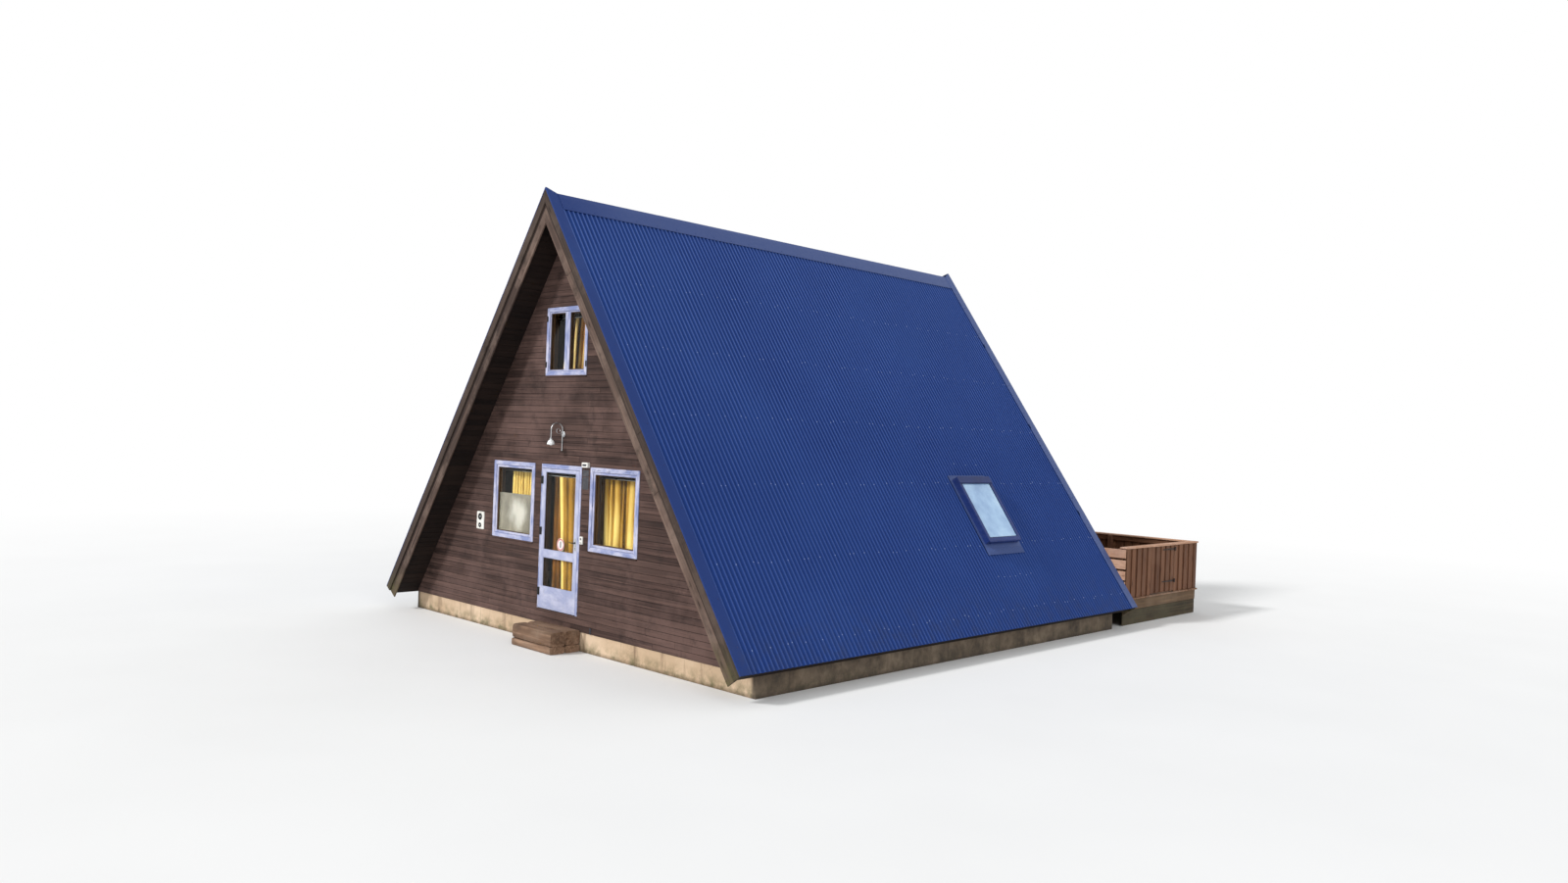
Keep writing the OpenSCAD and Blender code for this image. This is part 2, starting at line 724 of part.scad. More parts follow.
module wall_plate(x, z, w, h, t) box([x, wall_face - t, z], [x + w, wall_face, z + h]);
plate_t = 5;
bell_w = 69;
bell_h = 109;
bell_t = 25;
thermo_w = 204;
thermo_h = 272;
module wall_plates() {
    x0 = door_x + door_w + plate_gap;
    slot_z = head_h - 10;
    upper_z = slot_z - 32 - upper_plate_h;
    lower_z = upper_z - 7 - lower_plate_h;
    color("whitesmoke") place() {
        wall_plate(x0 + 27, slot_z, slot_box_w, slot_box_h, 50);
        wall_plate(x0, upper_z, plate_w, upper_plate_h, plate_t);
        wall_plate(x0, lower_z, plate_w, lower_plate_h, plate_t);
        wall_plate(x0, bell_z, bell_w, bell_h, bell_t);
        wall_plate(thermo_x, thermo_z, thermo_w, thermo_h, 20);
    }
}
// Door step of sleepers, two side by side in each of two courses
module door_step() {
    base_h = step_h - sleeper_h;
    sleeper_w = step_d / 2;
    y0 = gable_set - fit - step_d;
    color("tan") place() for (row = [0, 1], course = [[0, base_h], [base_h, step_h]]) box(
        [step_x, y0 + row * sleeper_w, course[0]],
        [step_x + step_w, y0 + (row + 1) * sleeper_w - fit, course[1] - fit]
    );
}

// Terrace
deck_top = floor_h;
deck_out = deck_half_w + deck_nose;
module deck_boards() {
    pitch = deck_board_w + deck_gap;
    boards_under = floor((gable_set - deck_gap) / pitch);
    y0 = roof_l + deck_gap - boards_under * pitch;
    y_end = fence_y1 + deck_nose - fit;
    n = floor((y_end - y0) / pitch);
    half_under = half_at(deck_top, barge_lower + fit);
    color("peru") place() for (k = [0 : n - 1]) {
        y = y0 + k * pitch;
        half = k < boards_under ? half_under : deck_out;
        box([-half, y, deck_top - deck_t], [half, k == n - 1 ? y_end : y + deck_board_w, deck_top]);
    }
}
// Skirt boards round the open terrace, and joists on from them to the back wall
skirt_t = 30;
joist_w = 70;
joists = 8;
module deck_frame() {
    z1 = deck_top - deck_t - fit;
    y0 = roof_l + deck_gap + sheet_t;
    half = deck_half_w - 10;
    joist_y0 = roof_l - gable_set + fit;
    color("darkkhaki") place() {
        pair() box([half - skirt_t, y0, 0], [half, fence_y1, z1]);
        box([-half + skirt_t + fit, fence_y1 - skirt_t, 0], [half - skirt_t - fit, fence_y1, z1]);
        for (k = [1 : joists]) {
            x = -half + k * 2 * half / (joists + 1);
            box([x - joist_w / 2, joist_y0, 0], [x + joist_w / 2, fence_y1 - skirt_t - fit, z1]);
        }
    }
}
// A run of upright boards: inner boards behind the gaps of the outer ones, on two rails
fence_z0 = deck_top + fit;
fence_z1 = deck_top + post_h - fit;
module board_run(length, z0, z1) {
    n = floor((length - picket_w) / picket_pitch);
    used = (length - picket_w) / n;
    for (k = [0 : n]) box([k * used, 0, z0], [k * used + picket_w, picket_t, z1]);
    box([picket_w / 2, picket_t - 1, z0], [length - picket_w / 2, 2 * picket_t, z1]);
    for (z = [z0 + 60, z1 - 95]) box([0, 2 * picket_t - 1, z], [length, 2 * picket_t + 45, z + 95]);
}
module posts(length, count, z0, z1)
    for (k = [0 : count - 1]) {
        x = k * (length - post_w) / (count - 1);
        box([x, 2 * picket_t + 44, z0], [x + post_w, 2 * picket_t + 45 + post_w, z1]);
    }
module side_run(length, count, z0, z1) {
    board_run(length, z0, z1);
    posts(length, count, z0, z1);
}
// Runs drawn along x with the outside at y = 0, turned to the right side of the terrace
module on_right(y0) translate([deck_half_w, y0, 0]) rotate([0, 0, 90]) children();
module fence_right() {
    color("chocolate") place() {
        on_right(fence_y0) side_run(gate_start - gate_gap, 2, fence_z0, fence_z1);
        on_right(gate_y1) side_run(fence_y1 - gate_y1, 2, fence_z0, fence_z1);
    }
}
module fence_left()
    color("chocolate") place() mirror([1, 0, 0])
        on_right(fence_y0) side_run(fence_l, 3, fence_z0, fence_z1);
back_in = 2 * picket_t + 45 + post_w + fit;
module fence_back() {
    length = 2 * (deck_half_w - back_in);
    color("chocolate") place() translate([length / 2, fence_y1, 0]) rotate([0, 0, 180])
        side_run(length, 6, fence_z0, fence_z1);
}
rail_z0 = deck_top + post_h;
module rail_bar(y0, y1) {
    x1 = deck_half_w + rail_over;
    box([x1 - handrail_w, y0, rail_z0], [x1, y1, rail_z0 + handrail_t]);
}
module handrails() {
    x_in = deck_half_w + rail_over - handrail_w - fit;
    color("burlywood") place() {
        rail_bar(fence_y0 - rail_over, gate_y0 - gate_gap);
        rail_bar(gate_y1 + fit, back_y);
        mirror([1, 0, 0]) rail_bar(fence_y0 - rail_over, back_y);
        box([-x_in, back_y - handrail_w, rail_z0], [x_in, back_y, rail_z0 + handrail_t]);
    }
}
// Level boards that close the corner between each fence and the slope of the roof. They lie on the
// fold of the verge trims, so there is no board below the height where it would reach the trim.
module fence_ends() {
    rows = 5;
    slot = 35;
    least_w = 12;
    rest_h = 20;
    row_h = (fence_z1 - fence_z0) / (rows - 0.4);
    x1 = deck_half_w - fit;
    y0 = roof_l + sheet_t + 2 * fit;
    z0 = max(fence_z0, height_at(x1 - least_w, barge_upper));
    z_rest = height_at(x1, verge_drop) + rest_h;
    color("sandybrown") place() pair() for (k = [0 : rows - 1]) {
        zb = fence_z1 - 8 - k * row_h;
        za = max(zb - row_h + slot, z0);
        if (zb > z_rest) along_y(y0, y0 + 24) polygon([
            [half_at(za, barge_upper), za], [x1, za],
            [x1, zb], [half_at(zb, barge_upper), zb]
        ]);
    }
}
// The fixed halves of the hinges of the door and the gate, and the hinges on the upper windows
module fixed_knuckles(h, r, length) for (z = [-pin_gap - length, h + pin_gap])
    translate([0, 0, z]) cylinder(h = length, r = r, $fn = 24);
gate_hinge_zs = [fence_z0 + 190, fence_z1 - 90];
module casement_hinges() {
    hinge_w = 24;
    hinge_h = 84;
    y0 = gable_set - casing_t - fit - 5;
    for (x = [upper_win_x + 7, upper_win_x + upper_win_w - 7 - hinge_w])
        for (z = [upper_sill_h + 158, upper_head - 158])
            box([x, y0, z - hinge_h / 2], [x + hinge_w, y0 + 5, z + hinge_h / 2]);
}
module hinge_brackets() {
    color("black") place() {
        front_and_back() casement_hinges();
        for (z = hinge_zs) translate([0, 0, z - barrel_l / 2]) {
            translate([hinge_x, hinge_y, 0]) fixed_knuckles(barrel_l, hinge_r, knuckle_l);
            for (side = [-pin_gap - knuckle_l, barrel_l + pin_gap]) translate([0, 0, side])
                box([door_x + 1, hinge_y - 1, 0], [hinge_x, leaf_y - fit, knuckle_l]);
        }
        for (z = gate_hinge_zs) {
            translate([gate_pin_x, gate_y1 - 2, z]) fixed_knuckles(strap_h, gate_pin_r, 14);
            for (side = [-pin_gap - 14, strap_h + pin_gap]) translate([0, 0, z + side])
                box([deck_half_w + fit, gate_y1 - 2, 0], [gate_pin_x, gate_y1 + 20, 14]);
            box(
                [deck_half_w + fit, gate_y1 + 10, z - pin_gap - 14],
                [deck_half_w + strap_t, gate_y1 + 60, z + strap_h + pin_gap + 14]
            );
        }
    }
}
// Gate in the right fence, hung on its rear post and opening outwards
gate_z0 = deck_top + 20;
gate_cap_in = 32;
module gate_leaf() {
    length = gate_w - 2 * gate_gap;
    color("chocolate") place() {
        on_right(gate_y0) board_run(length, gate_z0, fence_z1);
        x1 = deck_half_w + rail_over;
        box(
            [x1 - handrail_w, gate_y0, rail_z0 - 2 * fit],
            [x1, gate_y1 - gate_cap_in, rail_z0 + handrail_t]
        );
    }
}
module gate_fittings() {
    strap_l = 480;
    x0 = deck_half_w + fit;
    color("black") place() for (z = gate_hinge_zs) {
        box([x0, gate_y1 - strap_l, z], [x0 + strap_t, gate_y1 - gate_gap, z + strap_h]);
        translate([gate_pin_x, gate_y1 - 2, z]) cylinder(h = strap_h, r = gate_pin_r, $fn = 24);
        box([x0, gate_y1 - gate_gap - 20, z], [gate_pin_x + 4, gate_y1 - 2, z + strap_h]);
    }
}

// Soft pieces behind the glass
curtain_y = gable_set + wall_t + fit;
curtain_t = 50;
module window_screen() {
    z0 = sill_h + win_inset;
    h = 0.6 * (head_h - sill_h - 2 * win_inset);
    x0 = left_win_x + win_inset;
    x1 = left_win_x + left_win_w - win_inset;
    y0 = pane_y + glass_t + fit;
    edge = rebate - fit;
    color("whitesmoke") place() box([x0 - edge, y0, z0 - edge], [x1 + edge, y0 + 4, z0 + h]);
}
module curtain(x0, x1, z0, z1) box([x0, curtain_y, z0], [x1, curtain_y + curtain_t, z1]);
module curtain_set() {
    drop = 60;
    z0 = sill_h - drop;
    z1 = head_h - win_inset - drop;
    upper_z1 = upper_head - upper_inset - drop;
    curtain(left_win_x + 0.2 * left_win_w, left_win_x + left_win_w + drop, z0, z1);
    curtain(right_win_x + 0.1 * right_win_w, right_win_x + right_win_w + drop, z0, z1);
    curtain(upper_mid - 0.37 * upper_win_w, upper_win_x + upper_win_w + drop, upper_sill_h - drop, upper_z1);
}
module curtains() color("goldenrod") place() {
    curtain_set();
    turned_back() curtain_set();
}
module door_curtain() {
    y0 = leaf_y + leaf_t + fit;
    color("goldenrod") place() box(
        [leaf_x0 + leaf_stile + 75, y0, leaf_kick_z - 20],
        [leaf_x1 - leaf_stile + 10, y0 + 36, leaf_z1 - leaf_stile / 2 - 60]
    );
}

plinth();
floor();
wall_bases();
front_wall_left();
front_wall_right();
front_wall_gable();
back_wall_left();
back_wall_right();
back_wall_gable();
loft_floor();
loft_beams();
rafters();
roof_lining_left();
roof_lining_right();
roof_boarding();
roof_battens();
roof_sheet_left();
roof_sheet_right();
ridge_cap();
verge_trims();
barge_boards_upper();
barge_boards_lower();
eave_boards();
front_window_frames();
front_window_glass();
back_window_frames();
back_window_glass();
door_frame();
door_leaf();
door_glass();
door_fittings();
back_door();
skylight_frame();
skylight_glass();
skylight_flashing();
wall_lamp();
wall_plates();
door_step();
deck_boards();
deck_frame();
fence_right();
fence_left();
fence_back();
handrails();
fence_ends();
gate_leaf();
gate_fittings();
hinge_brackets();
window_screen();
curtains();
door_curtain();
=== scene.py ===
import math
import random
import bmesh
import bpy
import numpy as np
from mathutils import Matrix, Vector


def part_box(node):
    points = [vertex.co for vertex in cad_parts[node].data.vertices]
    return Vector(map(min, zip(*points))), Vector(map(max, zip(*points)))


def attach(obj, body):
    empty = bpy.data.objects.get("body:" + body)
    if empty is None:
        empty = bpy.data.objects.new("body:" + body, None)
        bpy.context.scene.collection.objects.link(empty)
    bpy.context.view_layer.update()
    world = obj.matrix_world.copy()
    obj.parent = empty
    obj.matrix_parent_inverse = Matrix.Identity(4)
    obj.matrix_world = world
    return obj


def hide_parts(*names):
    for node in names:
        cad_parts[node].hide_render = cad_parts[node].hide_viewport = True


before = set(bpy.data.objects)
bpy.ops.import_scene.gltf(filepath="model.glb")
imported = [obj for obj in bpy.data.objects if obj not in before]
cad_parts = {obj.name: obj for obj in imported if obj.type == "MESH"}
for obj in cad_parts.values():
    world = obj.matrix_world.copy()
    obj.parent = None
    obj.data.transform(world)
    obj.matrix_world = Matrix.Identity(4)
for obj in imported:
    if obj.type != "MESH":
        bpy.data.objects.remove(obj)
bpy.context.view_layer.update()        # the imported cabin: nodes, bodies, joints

print("cabin: frame loaded,", len(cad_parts), "nodes")

# Main sizes of the cabin in metres, the same as the part's own
cabin = {
    "roofHalf": 4.280,
    "roofLength": 9.440,
    "ridgeRise": 6.065,
    "eave": 0.365,
    "gableSet": 0.450,
    "wallThick": 0.160,
    "liningIn": 0.2301,
    "bargeUpper": 0.120,
    "bargeLower": 0.283,
    "plinthTop": 0.270,
    "floor": 0.472,
    "doorX": -0.500,
    "doorWide": 0.985,
    "head": 2.563,
    "wave": 0.076,
    "firstCrest": 0.024,
}
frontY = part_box("barge_boards_upper")[0].y
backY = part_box("barge_boards_upper")[1].y
slopeAngle = math.atan2(cabin["ridgeRise"], cabin["roofHalf"])
slopeLength = math.hypot(cabin["ridgeRise"], cabin["roofHalf"])
slopeCos = math.cos(slopeAngle)
slopeSin = math.sin(slopeAngle)
fit = 0.0003             # gap between pieces that bear on each other
wallFace = cabin["gableSet"] - fit
wallBack = cabin["gableSet"] + cabin["wallThick"]


def onSlope(side, up, y, out=0.0):
    # a point on a slope: up from the eaves, out from the crests of the sheet
    x = cabin["roofHalf"] - up * slopeCos + out * slopeSin
    return (side * x, y, cabin["eave"] + up * slopeSin + out * slopeCos)


def slopeTop(depth, gap=0.001):
    # how far up a layer reaches before it meets the other slope
    return (cabin["roofHalf"] - depth * slopeSin - gap) / slopeCos


# The flat top of the ridge cap, and how far up the slope what lies below it ends
capHalf, capOut = 0.053, 0.0063
capHigh = onSlope(1, slopeTop(-capOut, capHalf), 0, capOut)[2]
capUp = (capHigh - 0.0015 - cabin["eave"]) / slopeSin


def halfAt(z, depth):
    # half of the width between the slopes at a height, a depth in from the sheet
    return cabin["roofHalf"] - (z - cabin["eave"]) / math.tan(slopeAngle) - depth / slopeSin


def srgb(r, g, b, a=1.0):
    def line(v):
        v = v / 255
        return v / 12.92 if v <= 0.04045 else ((v + 0.055) / 1.055) ** 2.4
    return (line(r), line(g), line(b), a)


# Shader helpers
class Brush:
    def __init__(self, name):
        self.material = bpy.data.materials.new(name)
        self.material.use_nodes = True
        self.tree = self.material.node_tree
        self.tree.nodes.clear()
        self.out = self.tree.nodes.new("ShaderNodeOutputMaterial")
        self.paint = self.tree.nodes.new("ShaderNodeBsdfPrincipled")
        self.tree.links.new(self.paint.outputs[0], self.out.inputs[0])

    def feed(self, socket, value):
        if isinstance(value, bpy.types.NodeSocket):
            self.tree.links.new(value, socket)
        else:
            socket.default_value = value

    def put(self, kind, settings=None, inputs=None):
        made = self.tree.nodes.new("ShaderNode" + kind)
        for key, value in (settings or {}).items():
            setattr(made, key, value)
        for key, value in (inputs or {}).items():
            self.feed(made.inputs[key], value)
        return made

    def place(self):
        return self.put("TexCoord").outputs["Object"]

    def grain(self):
        return self.put("Attribute", {"attribute_name": "grain"}).outputs["Vector"]

    def tone(self):
        return self.put("Attribute", {"attribute_name": "tone"}).outputs["Fac"]

    def scaled(self, vector, scale, turn=(0, 0, 0), shift=(0, 0, 0)):
        settings = {"Vector": vector, "Scale": scale, "Rotation": turn, "Location": shift}
        return self.put("Mapping", None, settings).outputs[0]

    def noise(self, vector, scale, detail=4.0, rough=0.55, twist=0.0):
        inputs = {"Vector": vector, "Scale": scale, "Detail": detail, "Roughness": rough, "Distortion": twist}
        return self.put("TexNoise", None, inputs).outputs["Fac"]

    def cells(self, vector, scale, feature="F1"):
        inputs = {"Vector": vector, "Scale": scale}
        return self.put("TexVoronoi", {"feature": feature}, inputs).outputs["Distance"]

    def length(self, vector):
        made = self.put("VectorMath", {"operation": "LENGTH"})
        self.feed(made.inputs[0], vector)
        return made.outputs["Value"]

    def bands(self, vector, scale, twist=2.0, detail=2.0, axis="Y"):
        inputs = {"Vector": vector, "Scale": scale, "Distortion": twist, "Detail": detail}
        settings = {"wave_type": "BANDS", "bands_direction": axis}
        return self.put("TexWave", settings, inputs).outputs["Fac"]

    def span(self, value, low, high, a=0.0, b=1.0):
        inputs = {"Value": value, "From Min": low, "From Max": high, "To Min": a, "To Max": b}
        return self.put("MapRange", {"clamp": True}, inputs).outputs[0]

    def sum(self, kind, a, b=0.0):
        made = self.put("Math", {"operation": kind})
        self.feed(made.inputs[0], a)
        self.feed(made.inputs[1], b)
        return made.outputs[0]

    def blend(self, amount, a, b, mode="MIX"):
        made = self.put("Mix", {"data_type": "RGBA", "blend_type": mode, "clamp_factor": True})
        self.feed(made.inputs[0], amount)
        self.feed(made.inputs[6], a)
        self.feed(made.inputs[7], b)
        return made.outputs[2]

    def ramp(self, value, stops):
        made = self.put("ValToRGB")
        self.feed(made.inputs[0], value)
        marks = made.color_ramp.elements
        while len(marks) < len(stops):
            marks.new(0.5)
        for mark, (where, colour) in zip(marks, stops):
            mark.position = where
            mark.color = colour
        return made.outputs[0]

    def parts(self, vector):
        return self.put("SeparateXYZ", None, {"Vector": vector}).outputs

    def bump(self, height, strength, distance=0.001, over=None):
        inputs = {"Height": height, "Strength": strength, "Distance": distance}
        if over is not None:
            inputs["Normal"] = over
        return self.put("Bump", None, inputs).outputs[0]

    def cover(self, amount, over):
        # mixes a second shader over the paint
        made = self.put("MixShader", None, {"Fac": amount})
        self.tree.links.new(self.paint.outputs[0], made.inputs[1])
        self.tree.links.new(over.outputs[0], made.inputs[2])
        self.tree.links.new(made.outputs[0], self.out.inputs[0])

    def finish(self, colour, rough, normal=None, **fixed):
        self.feed(self.paint.inputs["Base Color"], colour)
        self.feed(self.paint.inputs["Roughness"], rough)
        if normal is not None:
            self.feed(self.paint.inputs["Normal"], normal)
        for key, value in fixed.items():
            self.paint.inputs[key.replace("_", " ")].default_value = value
        return self.material


# Mesh helpers
def blockFaces():
    def number(corner, axis):
        return 3 * (4 * corner[0] + 2 * corner[1] + corner[2]) + axis

    faces = []
    for a in range(3):
        b, c = [x for x in range(3) if x != a]
        for side in (0, 1):
            loop = []
            for s, t in ((0, 0), (1, 0), (1, 1), (0, 1)):
                corner = [0, 0, 0]
                corner[a], corner[b], corner[c] = side, s, t
                loop.append(number(corner, a))
            faces.append(loop)
        for s, t in ((0, 0), (1, 0), (1, 1), (0, 1)):
            low, high = [0, 0, 0], [0, 0, 0]
            low[b] = high[b] = s
            low[c] = high[c] = t
            high[a] = 1
            faces.append([number(low, b), number(high, b), number(high, c), number(low, c)])
    for i in range(8):
        faces.append([3 * i, 3 * i + 1, 3 * i + 2])
    corners = np.array([[[[i, j, k] for k in (0, 1)] for j in (0, 1)] for i in (0, 1)], float)
    cube = chamfered(corners[None], 0.1)[0]
    turned = []
    for loop in faces:
        p = cube[loop]
        normal = np.cross(p[1] - p[0], p[2] - p[0])
        turned.append(loop if normal @ (p.mean(0) - 0.5) > 0 else loop[::-1])
    return turned


def chamfered(corners, size):
    # three points at each corner, one in each face's own plane
    toward = []
    for axis in range(3):
        step = np.flip(corners, axis + 1) - corners
        toward.append(step / np.maximum(np.linalg.norm(step, axis=-1, keepdims=True), 1e-9))
    size = np.reshape(size, (-1, 1, 1, 1, 1))
    points = []
    for axis in range(3):
        b, c = [x for x in range(3) if x != axis]
        points.append(corners + size * (toward[b] + toward[c]))
    return np.stack(points, axis=4).reshape(len(corners), 24, 3)


class Pile:
    # many boards in one mesh, each with its own grain and tone
    def __init__(self, seed):
        self.rng = random.Random(seed)
        self.corners, self.sizes, self.along, self.tones = [], [], [], []

    def block(self, corners, chamfer, along, tone=None):
        self.corners.append(np.array(corners, float).reshape(2, 2, 2, 3))
        self.sizes.append(chamfer)
        self.along.append(along)
        self.tones.append(self.rng.random() if tone is None else tone)

    def box(self, low, high, chamfer, along):
        xs, ys, zs = [sorted(ends) for ends in zip(low, high)]
        self.block([[[(x, y, z) for z in zs] for y in ys] for x in xs], chamfer, along)

    def build(self, name, finish, body="cabin", slot=None, hides=None):
        corners = np.stack(self.corners)
        points = chamfered(corners, np.array(self.sizes))
        axes = [corners[:, 1, 0, 0] - corners[:, 0, 0, 0], corners[:, 0, 1, 0] - corners[:, 0, 0, 0],
                corners[:, 0, 0, 1] - corners[:, 0, 0, 0]]
        flipped = np.einsum("ij,ij->i", np.cross(axes[0], axes[1]), axes[2]) < 0
        units = [a / np.linalg.norm(a, axis=1, keepdims=True) for a in axes]
        local = points - corners[:, 0, 0, 0][:, None]
        grain = np.zeros_like(points)
        for n, along in enumerate(self.along):
            order = [along] + [a for a in range(3) if a != along]
            shift = [self.rng.uniform(0, 40) for _ in range(3)]
            length = units[along][n]
            for slotted, axis in enumerate(order):
                line = units[axis][n]
                if slotted:
                    line = line - length * (line @ length)
                    line = line / np.linalg.norm(line)
                grain[n, :, slotted] = local[n] @ line + shift[slotted]
        faces = []
        pattern = blockFaces()
        for n in range(len(points)):
            for loop in pattern:
                face = [24 * n + v for v in loop]
                faces.append(face[::-1] if flipped[n] else face)
        tone = np.repeat(np.array(self.tones), 24)
        obj = meshObject(name, points.reshape(-1, 3), faces, finish, grain.reshape(-1, 3), tone)
        return settle(obj, body, hides)


def meshObject(name, points, faces, finish, grain=None, tone=None, smooth=None):
    mesh = bpy.data.meshes.new(name)
    mesh.from_pydata([tuple(p) for p in points], [], [list(f) for f in faces])
    if grain is not None:
        held = mesh.attributes.new("grain", "FLOAT_VECTOR", "POINT")
        held.data.foreach_set("vector", np.array(grain).ravel())
    if tone is not None:
        mesh.attributes.new("tone", "FLOAT", "POINT").data.foreach_set("value", np.array(tone).ravel())
    mesh.materials.append(finishes[finish])
    obj = bpy.data.objects.new(name, mesh)
    bpy.context.scene.collection.objects.link(obj)
    if smooth is not None:
        mesh.shade_smooth()
        mesh.set_sharp_from_angle(angle=math.radians(smooth))
    mesh.validate()
    return obj


def settle(obj, body="cabin", hides=None):
    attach(obj, body)
    if hides:
        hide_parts(hides)
    return obj


def wheel(across, axis, sides):
    # unit directions round an axis, from the one across it
    other = axis.cross(across)
    turns = [2 * math.pi * k / sides for k in range(sides)]
    return [across * math.cos(turn) + other * math.sin(turn) for turn in turns]


class Shape:
    # points and faces gathered for one smooth piece
    def __init__(self):
        self.points, self.faces = [], []

    def strip(self, rings):
        # skins a row of closed rings that have the same number of points, and caps both ends
        start, count = len(self.points), len(rings[0])
        for ring in rings:
            self.points.extend(tuple(p) for p in ring)
        for r in range(len(rings) - 1):
            for k in range(count):
                a, b = start + r * count + k, start + r * count + (k + 1) % count
                self.faces.append([a, b, b + count, a + count])
        self.faces.append([start + k for k in range(count)][::-1])
        self.faces.append([start + (len(rings) - 1) * count + k for k in range(count)])

    def skin(self, upper, lower, keep=None):
        # a thin sheet: two grids of points, and walls wherever a cell has no neighbour
        start, rows, cols = len(self.points), len(upper), len(upper[0])
        for grid in (upper, lower):
            for row in grid:
                self.points.extend(tuple(p) for p in row)
        under = rows * cols

        def kept(r, c):
            return 0 <= r < rows - 1 and 0 <= c < cols - 1 and (keep is None or keep[r][c])

        for r in range(rows - 1):
            for c in range(cols - 1):
                if not kept(r, c):
                    continue
                a = start + r * cols + c
                b, d, e = a + 1, a + cols + 1, a + cols
                self.faces.append([a, b, d, e])
                self.faces.append([e + under, d + under, b + under, a + under])
                sides = (((r - 1, c), b, a), ((r, c + 1), d, b), ((r + 1, c), e, d), ((r, c - 1), a, e))
                for other, p, q in sides:
                    if not kept(*other):
                        self.faces.append([p, q, q + under, p + under])

    def lathe(self, profile, centre, axis=(0, 0, 1), sides=24):
        axis = Vector(axis).normalized()
        spokes = wheel(axis.orthogonal().normalized(), axis, sides)
        self.strip([[Vector(centre) + axis * height + spoke * radius for spoke in spokes]
                    for radius, height in profile])

    def barrel(self, foot, radius, high, worn, edge, sides):
        # an upright pin with rounded ends
        self.lathe([(radius - worn, 0.0), (radius, edge), (radius, high - edge), (radius - worn, high)],
                   foot, (0, 0, 1), sides)

    def tube(self, path, radius, sides=14):
        path = [Vector(p) for p in path]
        up = None
        rings = []
        for i, p in enumerate(path):
            ahead = (path[min(i + 1, len(path) - 1)] - path[max(i - 1, 0)]).normalized()
            if up is None:
                up = ahead.orthogonal().normalized()
            up = (up - ahead * up.dot(ahead)).normalized()
            r = radius[i] if isinstance(radius, list) else radius
            rings.append([p + spoke * r for spoke in wheel(up, ahead, sides)])
        self.strip(rings)

    def build(self, name, finish, body="cabin", slot=None, hides=None, smooth=35):
        obj = meshObject(name, self.points, self.faces, finish, smooth=smooth)
        outward(obj.data)
        return settle(obj, body, hides)


def outward(mesh):
    work = bmesh.new()
    work.from_mesh(mesh)
    bmesh.ops.recalc_face_normals(work, faces=work.faces[:])
    work.to_mesh(mesh)
    work.free()


# Finishes
def woodFinish(name, look, space="grain"):
    b = Brush(name)
    if space == "grain":
        where, tone = b.grain(), b.tone()
    else:
        where = b.scaled(b.place(), (1, 1, 1), turn=look.get("turn", (0, 0, 0)))
        tone = b.noise(b.scaled(where, (0.05, 9, 9)), 1.0, 1.0)
    fibres = b.noise(b.scaled(where, (5, 210, 210)), 1.0, 5.0, 0.6)
    streaks = b.noise(b.scaled(where, (0.9, 26, 26)), 1.0, 4.0, 0.6, 0.4)
    rings = b.bands(b.scaled(where, (0.35, 9, 6)), 2.2, 5.0, 3.0)
    colour = b.ramp(streaks, [(0.3, look["deep"]), (0.52, look["mid"]), (0.72, look["pale"])])
    colour = b.blend(b.span(rings, 0.55, 1.0, 0.0, look.get("rings", 0.35)), colour, look["deep"])
    colour = b.blend(b.span(fibres, 0.55, 0.8, 0.0, 0.5), colour, look["deep"])
    colour = b.blend(b.span(tone, 0.35, 1.0, 0.0, look["uneven"]), colour, look["pale"])
    colour = b.blend(b.span(tone, 0.3, 0.0, 0.0, look["uneven"]), colour, look["deep"])
    if "knots" in look:
        spot = b.cells(b.scaled(where, (2.3, 9.5, 9.5)), 1.0)
        dark = b.span(spot, 0.13, 0.05, 0.0, look["knots"])
        halo = b.span(spot, 0.24, 0.12, 0.0, look["knots"] * 0.45)
        colour = b.blend(halo, colour, look["deep"])
        colour = b.blend(dark, colour, look.get("knot", look["deep"]))
    spread = b.noise(b.place(), look.get("wearScale", 1.4), 5.0, 0.62)
    colour = b.blend(b.span(spread, 0.47, 0.68, 0.0, look["wear"]), colour, look["worn"])
    if "stain" in look:
        # stains in patches; on the cladding they are painted shadow of trees as well
        dampAndShade = b.noise(b.place(), 2.3, 6.0, 0.7)
        colour = b.blend(b.span(dampAndShade, 0.55, 0.72, 0.0, look.get("stainAmount", 0.5)), colour, look["stain"])
    if "seamShade" in look:
        # painted shade in the corner under the board above, told by the depth below the roof
        across = b.parts(b.place())
        rise = b.sum("MULTIPLY", b.sum("ABSOLUTE", across["X"]), slopeSin)
        rise = b.sum("ADD", rise, b.sum("MULTIPLY", across["Z"], slopeCos))
        below = b.sum("SUBTRACT", look["roofRise"], rise)
        colour = b.blend(b.span(below, look["seamShade"][1], look["seamShade"][0], 0.0, 0.85), colour, look["deep"])
    if "moss" in look:
        low = b.span(b.parts(b.place())["Z"], 0.75, 0.25)
        green = b.sum("MULTIPLY", low, b.span(b.noise(b.place(), 7.0, 6.0, 0.7), 0.4, 0.6, 0.25, 0.8))
        colour = b.blend(green, colour, look["moss"])
    rough = b.span(streaks, 0.3, 0.7, look["rough"] - 0.1, look["rough"] + 0.12)
    normal = b.bump(streaks, look["relief"], 0.002, b.bump(fibres, look["relief"], 0.0012))
    return b.finish(colour, rough, normal, Specular_IOR_Level=0.2)
